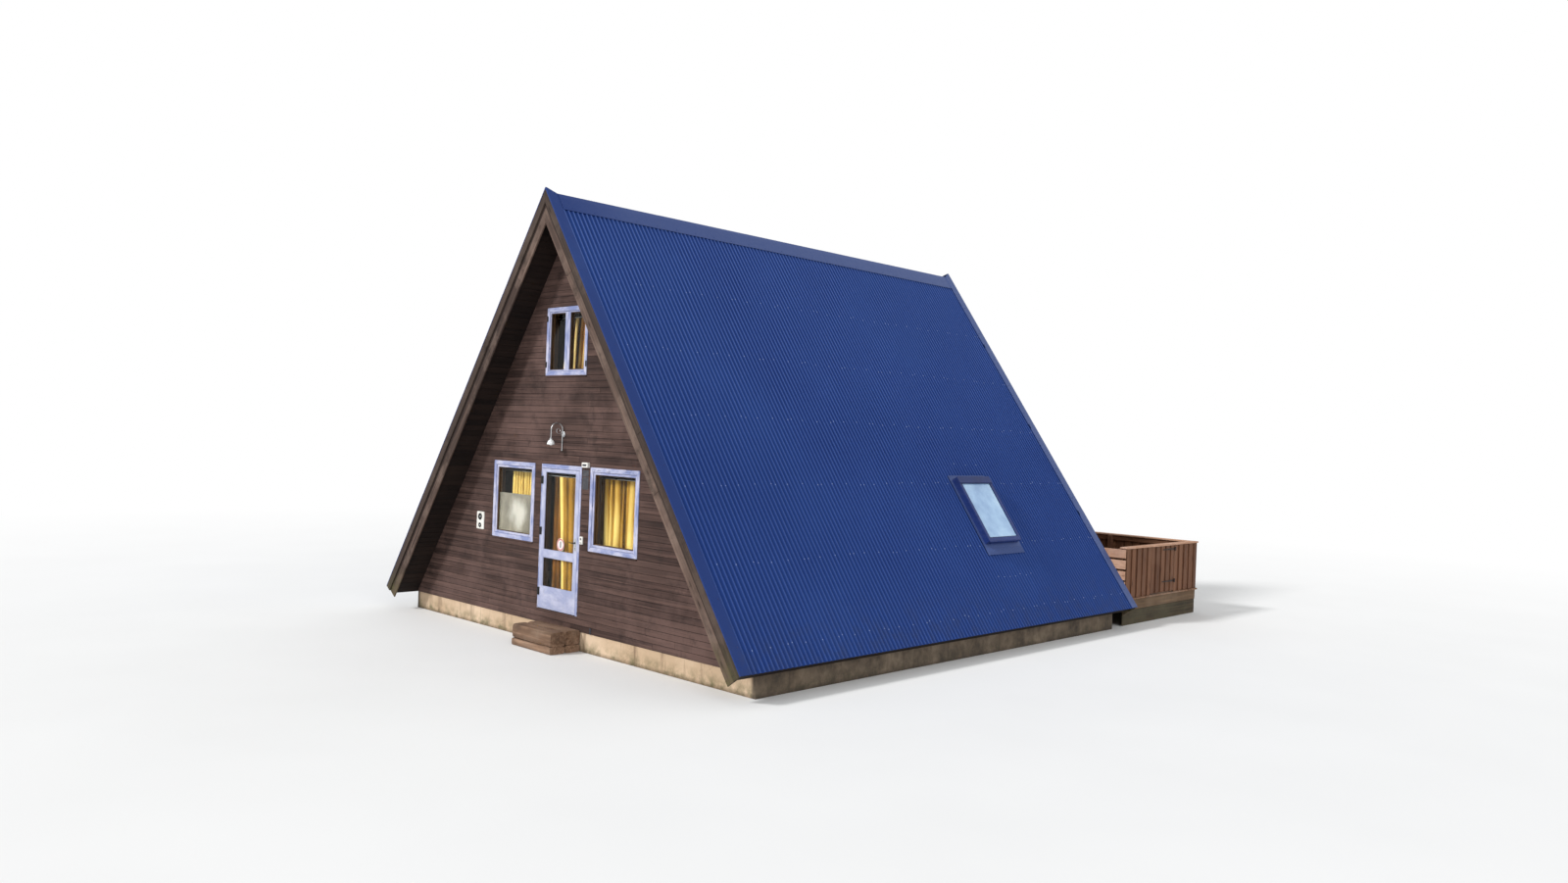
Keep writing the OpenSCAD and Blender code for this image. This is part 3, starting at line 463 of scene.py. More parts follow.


# the dark stain patches on the cladding are painted shadow of trees as well as weather stains
claddingLook = {
    "deep": srgb(38, 26, 23), "mid": srgb(71, 53, 48), "pale": srgb(100, 78, 71),
    "worn": srgb(112, 88, 82), "stain": srgb(29, 22, 20), "stainAmount": 0.65, "wear": 0.5,
    "wearScale": 1.1, "uneven": 0.35, "rough": 0.78, "relief": 0.6, "rings": 0.25,
}
bargeLook = {
    "deep": srgb(40, 31, 28), "mid": srgb(88, 70, 62), "pale": srgb(120, 100, 89),
    "worn": srgb(132, 113, 102), "stain": srgb(40, 34, 29), "stainAmount": 0.7, "wear": 0.5,
    "wearScale": 2.4, "uneven": 0.4, "knots": 0.7, "knot": srgb(34, 26, 22), "rough": 0.82, "relief": 0.6,
    "moss": srgb(84, 80, 50), "seamShade": (0.152, 0.166),
    "roofRise": Vector(onSlope(1, 1.0, 0.0, 0.0)).dot(Vector((slopeSin, 0, slopeCos))),
}
edgeLook = {
    "deep": srgb(28, 22, 20), "mid": srgb(58, 47, 42), "pale": srgb(84, 70, 62), "worn": srgb(96, 82, 73),
    "stain": srgb(30, 26, 22), "stainAmount": 0.7, "wear": 0.5, "wearScale": 2.0, "uneven": 0.4,
    "knots": 0.6, "knot": srgb(26, 20, 18), "rough": 0.82, "relief": 0.6, "moss": srgb(74, 72, 46),
}
# painted shade: dark brown boards made darker still, standing for the shade under the overhang; soffits, eave
# boards and linings take this
soffitShadeLook = {
    "deep": srgb(14, 9, 8), "mid": srgb(26, 17, 14), "pale": srgb(40, 28, 23), "worn": srgb(46, 34, 28),
    "wear": 0.35, "uneven": 0.5, "rough": 0.7, "relief": 0.35,
}
fenceLook = {
    "deep": srgb(76, 49, 35), "mid": srgb(106, 71, 51), "pale": srgb(130, 92, 68),
    "worn": srgb(120, 88, 69), "stain": srgb(74, 54, 42), "stainAmount": 0.35, "wear": 0.45,
    "wearScale": 1.6, "uneven": 0.5, "knots": 0.9, "knot": srgb(54, 30, 20), "rough": 0.68, "relief": 0.4,
}
railLook = {
    "deep": srgb(140, 100, 76), "mid": srgb(178, 136, 110), "pale": srgb(204, 166, 140),
    "worn": srgb(198, 168, 150), "stain": srgb(116, 86, 70), "stainAmount": 0.4, "wear": 0.5,
    "wearScale": 2.2, "uneven": 0.4, "knots": 0.7, "knot": srgb(98, 60, 40), "rough": 0.7, "relief": 0.35,
}
deckLook = {
    "deep": srgb(88, 60, 44), "mid": srgb(126, 94, 72), "pale": srgb(152, 120, 96),
    "worn": srgb(146, 126, 110), "wear": 0.6, "uneven": 0.5, "knots": 0.7, "knot": srgb(66, 42, 30),
    "rough": 0.75, "relief": 0.45,
}
skirtLook = {
    "deep": srgb(74, 57, 43), "mid": srgb(108, 86, 66), "pale": srgb(134, 110, 86),
    "worn": srgb(126, 106, 86), "stain": srgb(62, 53, 38), "wear": 0.5, "uneven": 0.4, "knots": 0.5,
    "rough": 0.8, "relief": 0.4,
}
footLook = {
    "deep": srgb(48, 42, 34), "mid": srgb(78, 68, 54), "pale": srgb(100, 88, 70), "worn": srgb(88, 84, 66),
    "stain": srgb(52, 56, 38), "wear": 0.6, "uneven": 0.4, "knots": 0.4, "rough": 0.85, "relief": 0.5,
}
sleeperLook = {
    "deep": srgb(84, 64, 50), "mid": srgb(126, 99, 80), "pale": srgb(164, 134, 111),
    "worn": srgb(132, 113, 97), "stain": srgb(66, 52, 42), "stainAmount": 0.65, "wear": 0.55,
    "wearScale": 3.0, "uneven": 0.4, "knots": 0.5, "knot": srgb(70, 52, 38), "rough": 0.85, "relief": 0.7,
}
plainWoodLook = {
    "deep": srgb(140, 104, 68), "mid": srgb(182, 142, 98), "pale": srgb(206, 172, 128),
    "worn": srgb(190, 160, 120), "wear": 0.3, "uneven": 0.4, "knots": 0.6, "knot": srgb(104, 66, 38),
    "rough": 0.6, "relief": 0.2,
}
innerWoodLook = {
    "deep": srgb(42, 29, 20), "mid": srgb(74, 54, 37), "pale": srgb(100, 76, 54), "worn": srgb(88, 67, 48),
    "wear": 0.3, "uneven": 0.4, "rough": 0.55, "relief": 0.2,
}


def sheetFinish(name, look):
    # coated steel: fine dust in runs down the slope, paler chalk in clouds, faint scuffs
    b = Brush(name)
    where = b.place()
    runs = b.noise(b.scaled(where, (0.5, 16, 16)), 1.0, 5.0, 0.6)
    clouds = b.noise(where, 0.55, 4.0, 0.6)
    specks = b.noise(where, 70.0, 3.0, 0.7)
    colour = b.ramp(clouds, [(0.3, look["deep"]), (0.55, look["mid"]), (0.75, look["pale"])])
    colour = b.blend(b.span(runs, 0.5, 0.8, 0.0, look["dust"]), colour, look["chalk"])
    colour = b.blend(b.span(specks, 0.66, 0.8, 0.0, look["dust"] * 0.9), colour, look["chalk"])
    if "line" in look:
        # painted highlight along each crest of the corrugations, stronger higher up the slope
        along = b.sum("SUBTRACT", b.parts(where)["Y"], frontY + cabin["firstCrest"])
        away = b.sum("PINGPONG", b.sum("DIVIDE", along, cabin["wave"]), 0.5)
        height = b.span(b.parts(where)["Z"], 2.2, 5.4, *look["lineAmount"])
        colour = b.blend(b.sum("MULTIPLY", b.span(away, 0.20, 0.04), height), colour, look["line"])
    if "far" in look:
        # painted sheen: the trims paler towards the back, where they are seen at a glancing angle
        for near, far, glanceSheenShare in ((frontY + 0.15, frontY + 1.4, 0.45), (frontY + 1.4, backY, 0.7)):
            colour = b.blend(b.span(b.parts(where)["Y"], near, far, 0.0, glanceSheenShare), colour, look["far"])
    low = b.span(b.parts(where)["Z"], 1.1, 0.3, 0.0, 1.0)
    splash = b.sum("MULTIPLY", low, b.span(b.noise(where, 5.0, 6.0, 0.7), 0.42, 0.7, 0.0, 0.5))
    colour = b.blend(splash, colour, look["mud"])
    rough = b.span(runs, 0.3, 0.75, look["rough"] - 0.06, look["rough"] + 0.12)
    normal = b.bump(b.noise(where, 420.0, 2.0), 0.05, 0.0003)
    return b.finish(colour, rough, normal, Specular_IOR_Level=look["gloss"])


roofLook = {
    "deep": srgb(25, 50, 109), "mid": srgb(29, 55, 115), "pale": srgb(34, 61, 122),
    "chalk": srgb(56, 78, 128), "mud": srgb(52, 58, 80), "dust": 0.10, "rough": 0.55, "gloss": 0.07,
    # line: the colour of the painted highlight on the crests, and how strong it is low and high
    "line": srgb(76, 100, 160), "lineAmount": (0.5, 0.9),
}
trimLook = {
    "deep": srgb(27, 50, 107), "mid": srgb(31, 55, 113), "pale": srgb(37, 62, 120),
    "chalk": srgb(62, 82, 130), "mud": srgb(52, 58, 80), "dust": 0.12, "rough": 0.5, "gloss": 0.14,
    # far: the colour of the painted sheen towards the back
    "far": srgb(78, 93, 136),
}
darkTrimLook = {
    "deep": srgb(18, 34, 82), "mid": srgb(27, 47, 105), "pale": srgb(42, 63, 126),
    "chalk": srgb(74, 88, 130), "mud": srgb(48, 50, 58), "dust": 0.12, "rough": 0.4, "gloss": 0.25,
}


def renderFinish():
    look = {
        "plain": srgb(186, 160, 131), "sun": srgb(210, 185, 157), "stain": srgb(104, 80, 60),
        "moss": srgb(82, 84, 48), "soil": srgb(92, 74, 56), "dampAndShade": srgb(58, 50, 42),
    }
    b = Brush("creamRender")
    where = b.place()
    clouds = b.noise(where, 1.3, 5.0, 0.6)
    colour = b.blend(b.span(clouds, 0.4, 0.65), look["plain"], look["sun"])
    drips = b.noise(b.scaled(where, (7.0, 7.0, 0.7)), 1.0, 5.0, 0.65)
    colour = b.blend(b.span(drips, 0.55, 0.72, 0.0, 0.7), colour, look["stain"])
    low = b.span(b.parts(where)["Z"], 0.2, 0.0, 0.0, 1.0)
    green = b.sum("MULTIPLY", low, b.span(b.noise(where, 6.0, 7.0, 0.7), 0.4, 0.62))
    colour = b.blend(green, colour, look["moss"])
    foot = b.span(b.parts(where)["Z"], 0.06, 0.0, 0.0, 0.75)
    colour = b.blend(foot, colour, look["soil"])
    # painted shade of the overhang, mottled, on the sides under the eaves
    underOverhang = b.span(b.sum("ABSOLUTE", b.parts(where)["X"]), 3.98, 4.03)
    splash = b.span(b.noise(where, 2.6, 6.0, 0.7), 0.30, 0.62, 1.0, 0.72)
    colour = b.blend(b.sum("MULTIPLY", underOverhang, splash), colour, look["dampAndShade"])
    wander = b.put("VectorMath", {"operation": "ADD"})
    b.feed(wander.inputs[0], where)
    b.feed(wander.inputs[1], b.noise(where, 4.0, 5.0, 0.6))
    cracks = b.cells(wander.outputs["Vector"], 1.3, "DISTANCE_TO_EDGE")
    here = b.span(b.noise(where, 0.9, 2.0), 0.46, 0.58, 0.0, 0.5)
    colour = b.blend(b.sum("MULTIPLY", b.span(cracks, 0.007, 0.0), here), colour, look["stain"])
    grit = b.noise(where, 190.0, 3.0, 0.7)
    trowel = b.noise(where, 11.0, 4.0)
    normal = b.bump(trowel, 0.35, 0.006, b.bump(grit, 0.35, 0.002))
    return b.finish(colour, b.span(grit, 0.3, 0.7, 0.82, 0.96), normal)


def paintFinish(name, look):
    # white paint, thin along the grain, with bluish grey clouds and streaks of painted shade, and flakes
    # where it is gone, filled with a dark navy that is painted shade too
    b = Brush(name)
    where = b.grain()
    tone = b.tone()
    brushed = b.noise(b.scaled(where, (3.0, 90, 90)), 1.0, 4.0, 0.6)
    clouds = b.noise(b.scaled(where, (1.0, 2.2, 2.2)), 3.0, 5.0, 0.65)
    colour = b.blend(b.span(clouds, 0.40, 0.60, 0.0, look["shadeBlueShare"]), look["white"], look["shadeBlue"])
    colour = b.blend(b.span(brushed, 0.55, 0.8, 0.0, 0.3), colour, look["shadeBlue"])
    flakes = b.noise(b.scaled(where, (5.0, 30, 30)), 1.0, 7.0, 0.7, 0.5)
    limit = b.span(tone, 0.0, 1.0, look["flakes"] + 0.12, look["flakes"])
    flakesAndShade = b.span(b.sum("SUBTRACT", flakes, limit), 0.0, 0.03, 0.0, 0.85)
    colour = b.blend(flakesAndShade, colour, look["flakesAndShade"])
    colour = b.blend(b.span(b.noise(where, 18.0, 5.0, 0.7), 0.56, 0.75, 0.0, 0.4), colour, look["dirt"])
    rough = b.span(flakesAndShade, 0.0, 1.0, 0.45, 0.8)
    normal = b.bump(brushed, 0.25, 0.0006)
    normal = b.bump(flakesAndShade, -0.4, 0.0008, normal)
    return b.finish(colour, rough, normal, Specular_IOR_Level=0.3)


def ironFinish(name, colour, worn, rough=0.55, metal=0.6):
    b = Brush(name)
    where = b.place()
    scuff = b.noise(where, 38.0, 5.0, 0.7)
    mixed = b.blend(b.span(scuff, 0.52, 0.72, 0.0, 0.8), colour, worn)
    normal = b.bump(b.noise(where, 240.0, 2.0), 0.2, 0.0004)
    return b.finish(mixed, b.span(scuff, 0.3, 0.7, rough - 0.12, rough + 0.15), normal, Metallic=metal)


def enamelFinish(name, base, dirt, rough=0.3):
    b = Brush(name)
    where = b.place()
    grime = b.noise(where, 14.0, 6.0, 0.7)
    colour = b.blend(b.span(grime, 0.5, 0.72, 0.0, 0.75), base, dirt)
    return b.finish(colour, b.span(grime, 0.4, 0.7, rough, rough + 0.25), b.bump(grime, 0.1, 0.001))


def paneFinish():
    tint, through = (0.95, 0.96, 0.94, 1), (0.88, 0.885, 0.87, 1)
    b = Brush("windowPane")
    where = b.place()
    film = b.noise(where, 2.6, 4.0, 0.6)
    b.feed(b.paint.inputs["Base Color"], tint)
    b.feed(b.paint.inputs["Roughness"], b.span(film, 0.4, 0.7, 0.015, 0.09))
    b.feed(b.paint.inputs["Normal"], b.bump(b.noise(where, 1.7, 1.0), 0.06, 0.004))
    b.paint.inputs["Transmission Weight"].default_value = 1.0
    b.paint.inputs["IOR"].default_value = 1.13
    b.cover(b.put("LightPath").outputs["Is Shadow Ray"], b.put("BsdfTransparent", None, {"Color": through}))
    return b.material


def clothFinish(name, look):
    b = Brush(name)
    where = b.grain()
    weave = b.sum("MULTIPLY", b.bands(where, 420.0, 0.6, 1.0, "X"), b.bands(where, 420.0, 0.6, 1.0, "Y"))
    slubs = b.noise(b.scaled(where, (60, 3.0, 1)), 1.0, 4.0, 0.6)
    # tone runs from painted shade in the valleys of the folds to painted light on the crests, under mottled
    # painted shadow
    dappledShade = b.noise(b.scaled(where, (2.2, 1.3, 1)), 1.0, 2.0, 0.4)
    light = b.sum("ADD", b.tone(), b.span(dappledShade, 0.3, 0.7, -0.14, 0.14))
    colour = b.ramp(light, [(0.10, look["deep"]), (0.50, look["mid"]), (0.92, look["pale"])])
    colour = b.blend(b.span(slubs, 0.5, 0.75, 0.0, 0.15), colour, look["pale"])
    colour = b.blend(b.span(slubs, 0.5, 0.3, 0.0, 0.15), colour, look["deep"])
    colour = b.blend(b.span(weave, 0.0, 0.5, 0.2, 0.0), colour, look["deep"])
    normal = b.bump(weave, 0.3, 0.0004)
    return b.finish(colour, 0.85, normal, Specular_IOR_Level=0.05)


finishes = {
    "cladding": woodFinish("weatheredCladding", claddingLook),
    "barge": woodFinish("weatheredBargeBoard", bargeLook),
    "edge": woodFinish("darkBargeBoard", edgeLook),
    "soffit": woodFinish("darkSoffitBoard", soffitShadeLook),
    "fence": woodFinish("stainedFenceBoard", fenceLook),
    "rail": woodFinish("paleHandrail", railLook),
    "deck": woodFinish("terraceBoard", deckLook),
    "skirt": woodFinish("treatedTimber", skirtLook),
    "foot": woodFinish("soiledTimber", footLook),
    "inner": woodFinish("brownInnerFrame", innerWoodLook),
    "sleeper": woodFinish("weatheredSleeper", sleeperLook),
    "soffitBack": woodFinish("darkLining", soffitShadeLook, "object"),
    "plainBoards": woodFinish("plainFloorBoards", dict(plainWoodLook, turn=(0, 0, math.pi / 2)), "object"),
    "plainBeams": woodFinish("plainBeams", plainWoodLook, "object"),
    "roof": sheetFinish("navyRoofSheet", roofLook),
    "trim": sheetFinish("slateFoldedTrim", trimLook),
    "darkTrim": sheetFinish("darkWindowMetal", darkTrimLook),
    "render": renderFinish(),
    "paint": paintFinish("oldWhitePaint", {
        "white": srgb(190, 190, 210), "shadeBlue": srgb(128, 138, 180), "flakesAndShade": srgb(66, 76, 114),
        "dirt": srgb(112, 108, 120), "shadeBlueShare": 1.0, "flakes": 0.585}),
    "doorPaint": paintFinish("oldDoorPaint", {
        "white": srgb(184, 186, 207), "shadeBlue": srgb(138, 146, 182), "flakesAndShade": srgb(86, 92, 124),
        "dirt": srgb(124, 120, 132), "shadeBlueShare": 0.7, "flakes": 0.64}),
    "iron": ironFinish("blackIron", srgb(26, 26, 27), srgb(58, 52, 47)),
    "strap": ironFinish("brownedIron", srgb(48, 34, 28), srgb(84, 58, 44), 0.6, 0.4),
    "zinc": ironFinish("screwZinc", srgb(136, 152, 190), srgb(96, 110, 148), 0.42, 0.2),
    "chrome": ironFinish("paleLampMetal", srgb(196, 198, 200), srgb(150, 150, 150), 0.3, 0.9),
    "whiteEnamel": enamelFinish("whiteEnamel", srgb(228, 226, 220), srgb(168, 158, 142)),
    "darkEnamel": enamelFinish("darkEnamel", srgb(44, 44, 52), srgb(78, 76, 78), 0.4),
    "mottledEnamel": enamelFinish("mottledEnamel", srgb(46, 46, 53), srgb(96, 93, 94), 0.4),
    "pane": paneFinish(),
    "gold": clothFinish("goldCurtainCloth", {
        "deep": srgb(62, 38, 12), "mid": srgb(176, 130, 44), "pale": srgb(246, 216, 126)}),
    "amber": clothFinish("amberCurtainCloth", {
        "deep": srgb(34, 20, 7), "mid": srgb(150, 92, 22), "pale": srgb(240, 208, 134)}),
}
print("cabin:", len(finishes), "finishes mixed")


# Shared builders
def gableY(y, back=False):
    # a depth counted from the nearer edge of the roof
    return backY - y if back else frontY + y


def slopeOut(side):
    # straight out of a slope
    return Vector((side * slopeSin, 0, slopeCos))


def gableSpan(near, far, back=False):
    # a pair of such depths, the lower one first
    return sorted((gableY(near, back), gableY(far, back)))


def slopeBlock(pile, side, up, depth, y, chamfer, along=0):
    # a board in the slope: up and depth are pairs, and the top end stops at the ridge
    corners = [[[onSlope(side, min(u, slopeTop(d)), v, -d) for d in depth] for v in y] for u in up]
    pile.block(corners, chamfer, along)


def ringFrame(pile, x, z, width, y, chamfer, place=lambda x, y, z: (x, y, z)):
    # four members mitred at the corners, x, z and y being pairs
    innerX, innerZ = (x[0] + width, x[1] - width), (z[0] + width, z[1] - width)
    for side in (0, 1):
        upright = [((x[side], z[n]), (innerX[side], innerZ[n])) for n in (0, 1)]
        level = [((x[n], z[side]), (innerX[n], innerZ[side])) for n in (0, 1)]
        for ends in (upright, level):
            pile.block([[[place(a, v, b) for v in y] for a, b in end] for end in ends], chamfer, 0)


def splitRun(rng, start, end, low, high):
    # lengths of board between two ends, none of them short
    cuts = [start]
    while end - cuts[-1] > high:
        step = rng.uniform(low, high)
        if end - cuts[-1] - step < low * 0.6:
            step = (end - cuts[-1]) / 2
        cuts.append(cuts[-1] + step)
    cuts.append(end)
    return list(zip(cuts[:-1], cuts[1:]))


def screwHeads(name, places, size, finish):
    # washers with a domed hexagon head, each at a point with its own outward direction
    washer = [(size, 0.0), (size, size * 0.12), (size * 0.72, size * 0.24)]
    hexagon = [(size * 0.5, size * 0.2), (size * 0.5, size * 0.55), (size * 0.36, size * 0.68)]
    heads = Shape()
    for point, axis in places:
        heads.lathe(washer, point, axis, 12)
        heads.lathe(hexagon, point, axis, 6)
    heads.build(name, finish, slot="roof_trim", smooth=30)


def nailHeads(name, places, crown, finish, slot):
    # flat heads, the crown being the radius and height of their top
    heads = Shape()
    for point, axis in places:
        heads.lathe([(0.0045, 0.0), crown], point, axis, 8)
    heads.build(name, finish, slot=slot)


def dress(node, *looks):
    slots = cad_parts[node].data.materials
    slots.clear()
    for look in looks:
        slots.append(finishes[look])


# Roof sheets
roof = {
    "depth": 0.018,
    "wavesPerSheet": 12,
    "stepsPerWave": 12,
    "thick": 0.0011,
    "lapLift": 0.0016,
    "skylightY": (5.966, 6.874),
    "skylightUp": (1.416, 2.604),
    "screwRows": (0.30, 1.41, 2.54, 3.63, 4.72, 5.83),
    "screwWaves": (0, 1, 4, 8),
    "screwSize": 0.0078,
}


def roofSheets(side, name, node):
    first, wave = cabin["firstCrest"], cabin["wave"]
    step = wave / roof["stepsPerWave"]
    end = cabin["roofLength"] - first
    low, high = roof["skylightUp"]
    left, right = roof["skylightY"]
    ups = sorted(set([0.0, 0.4, 1.0, low, high, 3.6, 4.6, 5.6, 6.6, capUp - fit]))

    def stays(up, y):
        # all but the hole for the skylight
        return side < 0 or not (low - 1e-6 <= up < high - 1e-6 and left - 1e-6 <= y < right - 1e-6)

    sheets = Shape()
    for n in range(0, int((end - first) / wave), roof["wavesPerSheet"]):
        count = (roof["wavesPerSheet"] + 1) * roof["stepsPerWave"]
        y0 = first + n * wave
        ys = [y0 + k * step for k in range(count + 1) if y0 + k * step <= end + 1e-6]
        if side > 0:
            ys = sorted(set(ys + [y for y in (left, right) if ys[0] < y < ys[-1]]))
        outs = []
        for y in ys:
            dip = roof["depth"] * (1 - math.cos(2 * math.pi * (y - first) / wave)) / 2
            outs.append(roof["lapLift"] * (1 - (y - ys[0]) / (ys[-1] - ys[0])) - dip)
        grids = [[[onSlope(side, up, frontY + y, out - inset) for y, out in zip(ys, outs)] for up in ups]
                 for inset in (0.0, roof["thick"])]
        sheets.skin(*grids, [[stays(up, y) for y in ys[:-1]] for up in ups[:-1]])
    sheets.build(name, "roof", slot="roof_sheet", hides=node, smooth=40)


def roofScrews():
    waves = int((cabin["roofLength"] - 2 * cabin["firstCrest"]) / cabin["wave"])
    low, high = roof["skylightUp"]
    left, right = roof["skylightY"]
    rng = random.Random(31)
    places = []
    for side in (1, -1):
        crests = [n for n in range(3, waves - 1) if n % 12 in roof["screwWaves"]]
        spots = [(up, n) for up in roof["screwRows"] for n in crests]
        if side > 0:
            # more of them below and above the skylight
            spots += [(0.85, n) for n in range(waves - 46, waves - 32, 2)]
            spots += [(2.90, n) for n in range(82, 92, 4)]
        for up, n in spots:
            y = cabin["firstCrest"] + n * cabin["wave"]
            if side > 0 and low - 0.3 < up < high + 0.1 and left - 0.1 < y < right + 0.1:
                continue
            up += rng.uniform(-0.02, 0.02)
            places.append((onSlope(side, up, frontY + y, 0.0004), slopeOut(side)))
    screwHeads("roofScrews", places, roof["screwSize"], "zinc")


roofSheets(1, "roofSheetsRight", "roof_sheet_right")
roofSheets(-1, "roofSheetsLeft", "roof_sheet_left")
roofScrews()
print("cabin: roof sheets on")

# Folded trims of the roof
trim = {
    "capWide": 0.374,
    "capRest": 0.0003,
    "tongue": 0.0455,
    "tongueStart": 0.026,
    "vergeWide": 0.167,
    "vergeDrop": 0.012,
    "vergeOut": 0.0018,
    "mitreStart": 0.024,
    "rearLift": 0.014,
    "thick": 0.0013,
    "length": 2.0,
    "lap": 0.09,
    "lapLift": 0.0012,
    "screwSize": 0.0105,
}


def trimLengths(end, start=0.0):
    count = max(1, round((end - start) / trim["length"]))
    step = (end - start) / count
    for k in range(count):
        yield start + k * step, min(end, start + (k + 1) * step + trim["lap"])


def ridgeCap():
    # folded lengths with a flat top, and a tongue at each end under the verge trims
    cap = Shape()
    low = slopeLength - trim["capWide"]
    end = cabin["roofLength"] - trim["vergeWide"] - fit
    for y0, y1 in trimLengths(end, trim["vergeWide"] + fit):
        grids = ([], [])
        for y, lift in ((y0, trim["lapLift"]), (y1, 0.0)):
            v = frontY + y
            for grid, inset in zip(grids, (0.0, trim["thick"])):
                out, top = capOut - inset + lift, capHigh - inset + lift
                bend = slopeTop(-out, capHalf) - 0.010
                line = [onSlope(1, low + inset, v, trim["capRest"] + lift), onSlope(1, low + inset, v, out)]
                line += [onSlope(1, u, v, out) for u in np.linspace(low + 0.01, bend, 4)]
                line += [(capHalf + 0.0015, v, top - 0.0042), (capHalf - 0.003, v, top - 0.0006)]
                line += [(capHalf / 2, v, top), (0.0, v, top)]
                grid.append(line + [(-p[0], p[1], p[2]) for p in line[-2::-1]])
        cap.skin(*grids)
    xs, top = (-trim["tongue"], 0.0, trim["tongue"]), capHigh - 0.0002
    for back in (False, True):
        ys = [gableY(y, back) for y in (trim["tongueStart"], trim["vergeWide"])]
        cap.skin(*[[[(x, y, z) for x in xs] for y in ys] for z in (top, top - trim["thick"])])
    cap.build("ridgeCapLengths", "trim", slot="roof_trim", hides="ridge_cap", smooth=30)
    places = []
    for side in (1, -1):
        for n in range(4, 119, 5):
            y = frontY + cabin["firstCrest"] + n * cabin["wave"]
            places.append((onSlope(side, low + 0.05, y, capOut + 0.0008), slopeOut(side)))
    screwHeads("ridgeCapScrews", places, trim["screwSize"], "trim")


def vergeTrims():
    folds = Shape()
    places = []
    wide, near, edgeOut = trim["vergeWide"], trim["mitreStart"], trim["vergeOut"]

    def topOf(y, out, peak):
        # mitred against the other side, and cut down to the ridge cap behind
        cut = peak + (capUp - peak) * max(0.0, y - near) / (wide - near)
        return min(cut, slopeTop(-out, fit))

    for back, lift in ((False, 0.0), (True, trim["rearLift"])):
        peak = slopeTop(-edgeOut - lift, 0.0)
        for side in (1, -1):
            for u0, u1 in trimLengths(slopeLength + 0.02):
                grids = ([], [])
                for up, rise in ((u0, 0.0), (u1, trim["lapLift"])):
                    over = lift + edgeOut + rise
                    for grid, inset, turn in zip(grids, (0.0, trim["thick"]), (0.001, 0.0012)):
                        edge = -edgeOut - rise + inset
                        line = [(edge, -trim["vergeDrop"]), (edge, over - 0.003), (turn, over - inset)]
                        line += [(near, over - inset), (wide - 0.003, over - inset)]
                        line += [(wide - inset, over - 0.003), (wide - inset, fit)]
                        grid.append([onSlope(side, min(up, topOf(y, out, peak)), gableY(y, back), out)
                                     for y, out in line])
                folds.skin(*grids)
            for up in np.arange(0.35, capUp - 0.2, 0.62):
                places.append((onSlope(side, up, gableY(0.125, back), lift + 0.002), slopeOut(side)))
    folds.build("vergeTrimLengths", "trim", slot="roof_trim", hides="verge_trims", smooth=30)
    screwHeads("vergeTrimScrews", places, trim["screwSize"], "darkTrim")


ridgeCap()
vergeTrims()
print("cabin: ridge cap and verge trims folded")

# Barge boards in lengths, nailed in pairs at steps up from the foot of each length
barge = {
    "upperY": (0.0, 0.022),
    "lowerY": (0.0223, 0.0443),
    "upperCuts": (0.0, 3.35, 9.0),
    "lowerCuts": (0.0, 2.55, 6.05, 9.0),
    "upperNails": (0.03, 0.095),
    "lowerNails": (0.15, 0.255),
    "nailStep": 0.61,
    "upperDepth": (fit, cabin["bargeUpper"]),
    "lowerDepth": (0.070, cabin["bargeLower"]),
    "gap": 0.002,
}


def bargeBoards():
    upper, lower = Pile(5), Pile(6)
    rows = (
        (upper, barge["upperCuts"], barge["upperDepth"], barge["upperY"], barge["upperNails"]),
        (lower, barge["lowerCuts"], barge["lowerDepth"], barge["lowerY"], barge["lowerNails"]),
    )
    nails = []
    for back, facing in ((False, Vector((0, -1, 0))), (True, Vector((0, 1, 0)))):
        for side in (1, -1):
            for pile, cuts, depth, y, depths in rows:
                face = gableY(y[0], back) + facing.y * 0.0002
                for u0, u1 in zip(cuts[:-1], cuts[1:]):
                    ups = (u0 + barge["gap"] / 2, u1 - barge["gap"] / 2)
                    slopeBlock(pile, side, ups, depth, gableSpan(*y, back), 0.003)
                    for up in np.arange(u0 + 0.06, min(u1, 7.2), barge["nailStep"]):
                        nails += [(onSlope(side, up, face, -d), facing) for d in depths]
    upper.build("bargeBoardsUpper", "edge", slot="barge_wood", hides="barge_boards_upper")
    lower.build("bargeBoardsLower", "barge", slot="barge_wood", hides="barge_boards_lower")
    nailHeads("bargeBoardNails", nails, (0.0038, 0.0009), "iron", "black_iron")


# Boards under the overhang and along the eaves
soffit = {
    "wide": 0.094,
    "gap": 0.004,
    "depth": (0.2301, 0.2345),
    "y": (0.0447, 0.4490),
    "start": 0.062,
    "eaveUp": (0.040, 0.0597),
    "eaveDepth": (0.0498, 0.2298),
    "eaveCuts": (0.045, 3.2, 6.3, 9.395),
}


def soffitBoards():
    pile, eaves = Pile(8), Pile(9)
    top = slopeTop(soffit["depth"][1])
    for back in (False, True):
        for side in (1, -1):
            up = soffit["start"]
            while up < top - 0.02:
                end = min(up + soffit["wide"], top - 0.002)
                slopeBlock(pile, side, (up, end), soffit["depth"], gableSpan(*soffit["y"], back), 0.0015, 1)
                up = end + soffit["gap"]
    pile.build("soffitBoards", "soffit", slot="soffit_wood")
    cuts = soffit["eaveCuts"]
    for side in (1, -1):
        for y0, y1 in zip(cuts[:-1], cuts[1:]):
            ys = (frontY + y0 + 0.001, frontY + y1 - 0.001)
            slopeBlock(eaves, side, soffit["eaveUp"], soffit["eaveDepth"], ys, 0.002, 1)
    eaves.build("eaveBoards", "soffit", slot="soffit_wood", hides="eave_boards")


bargeBoards()
soffitBoards()
print("cabin: barge boards, soffits and eaves boarded")

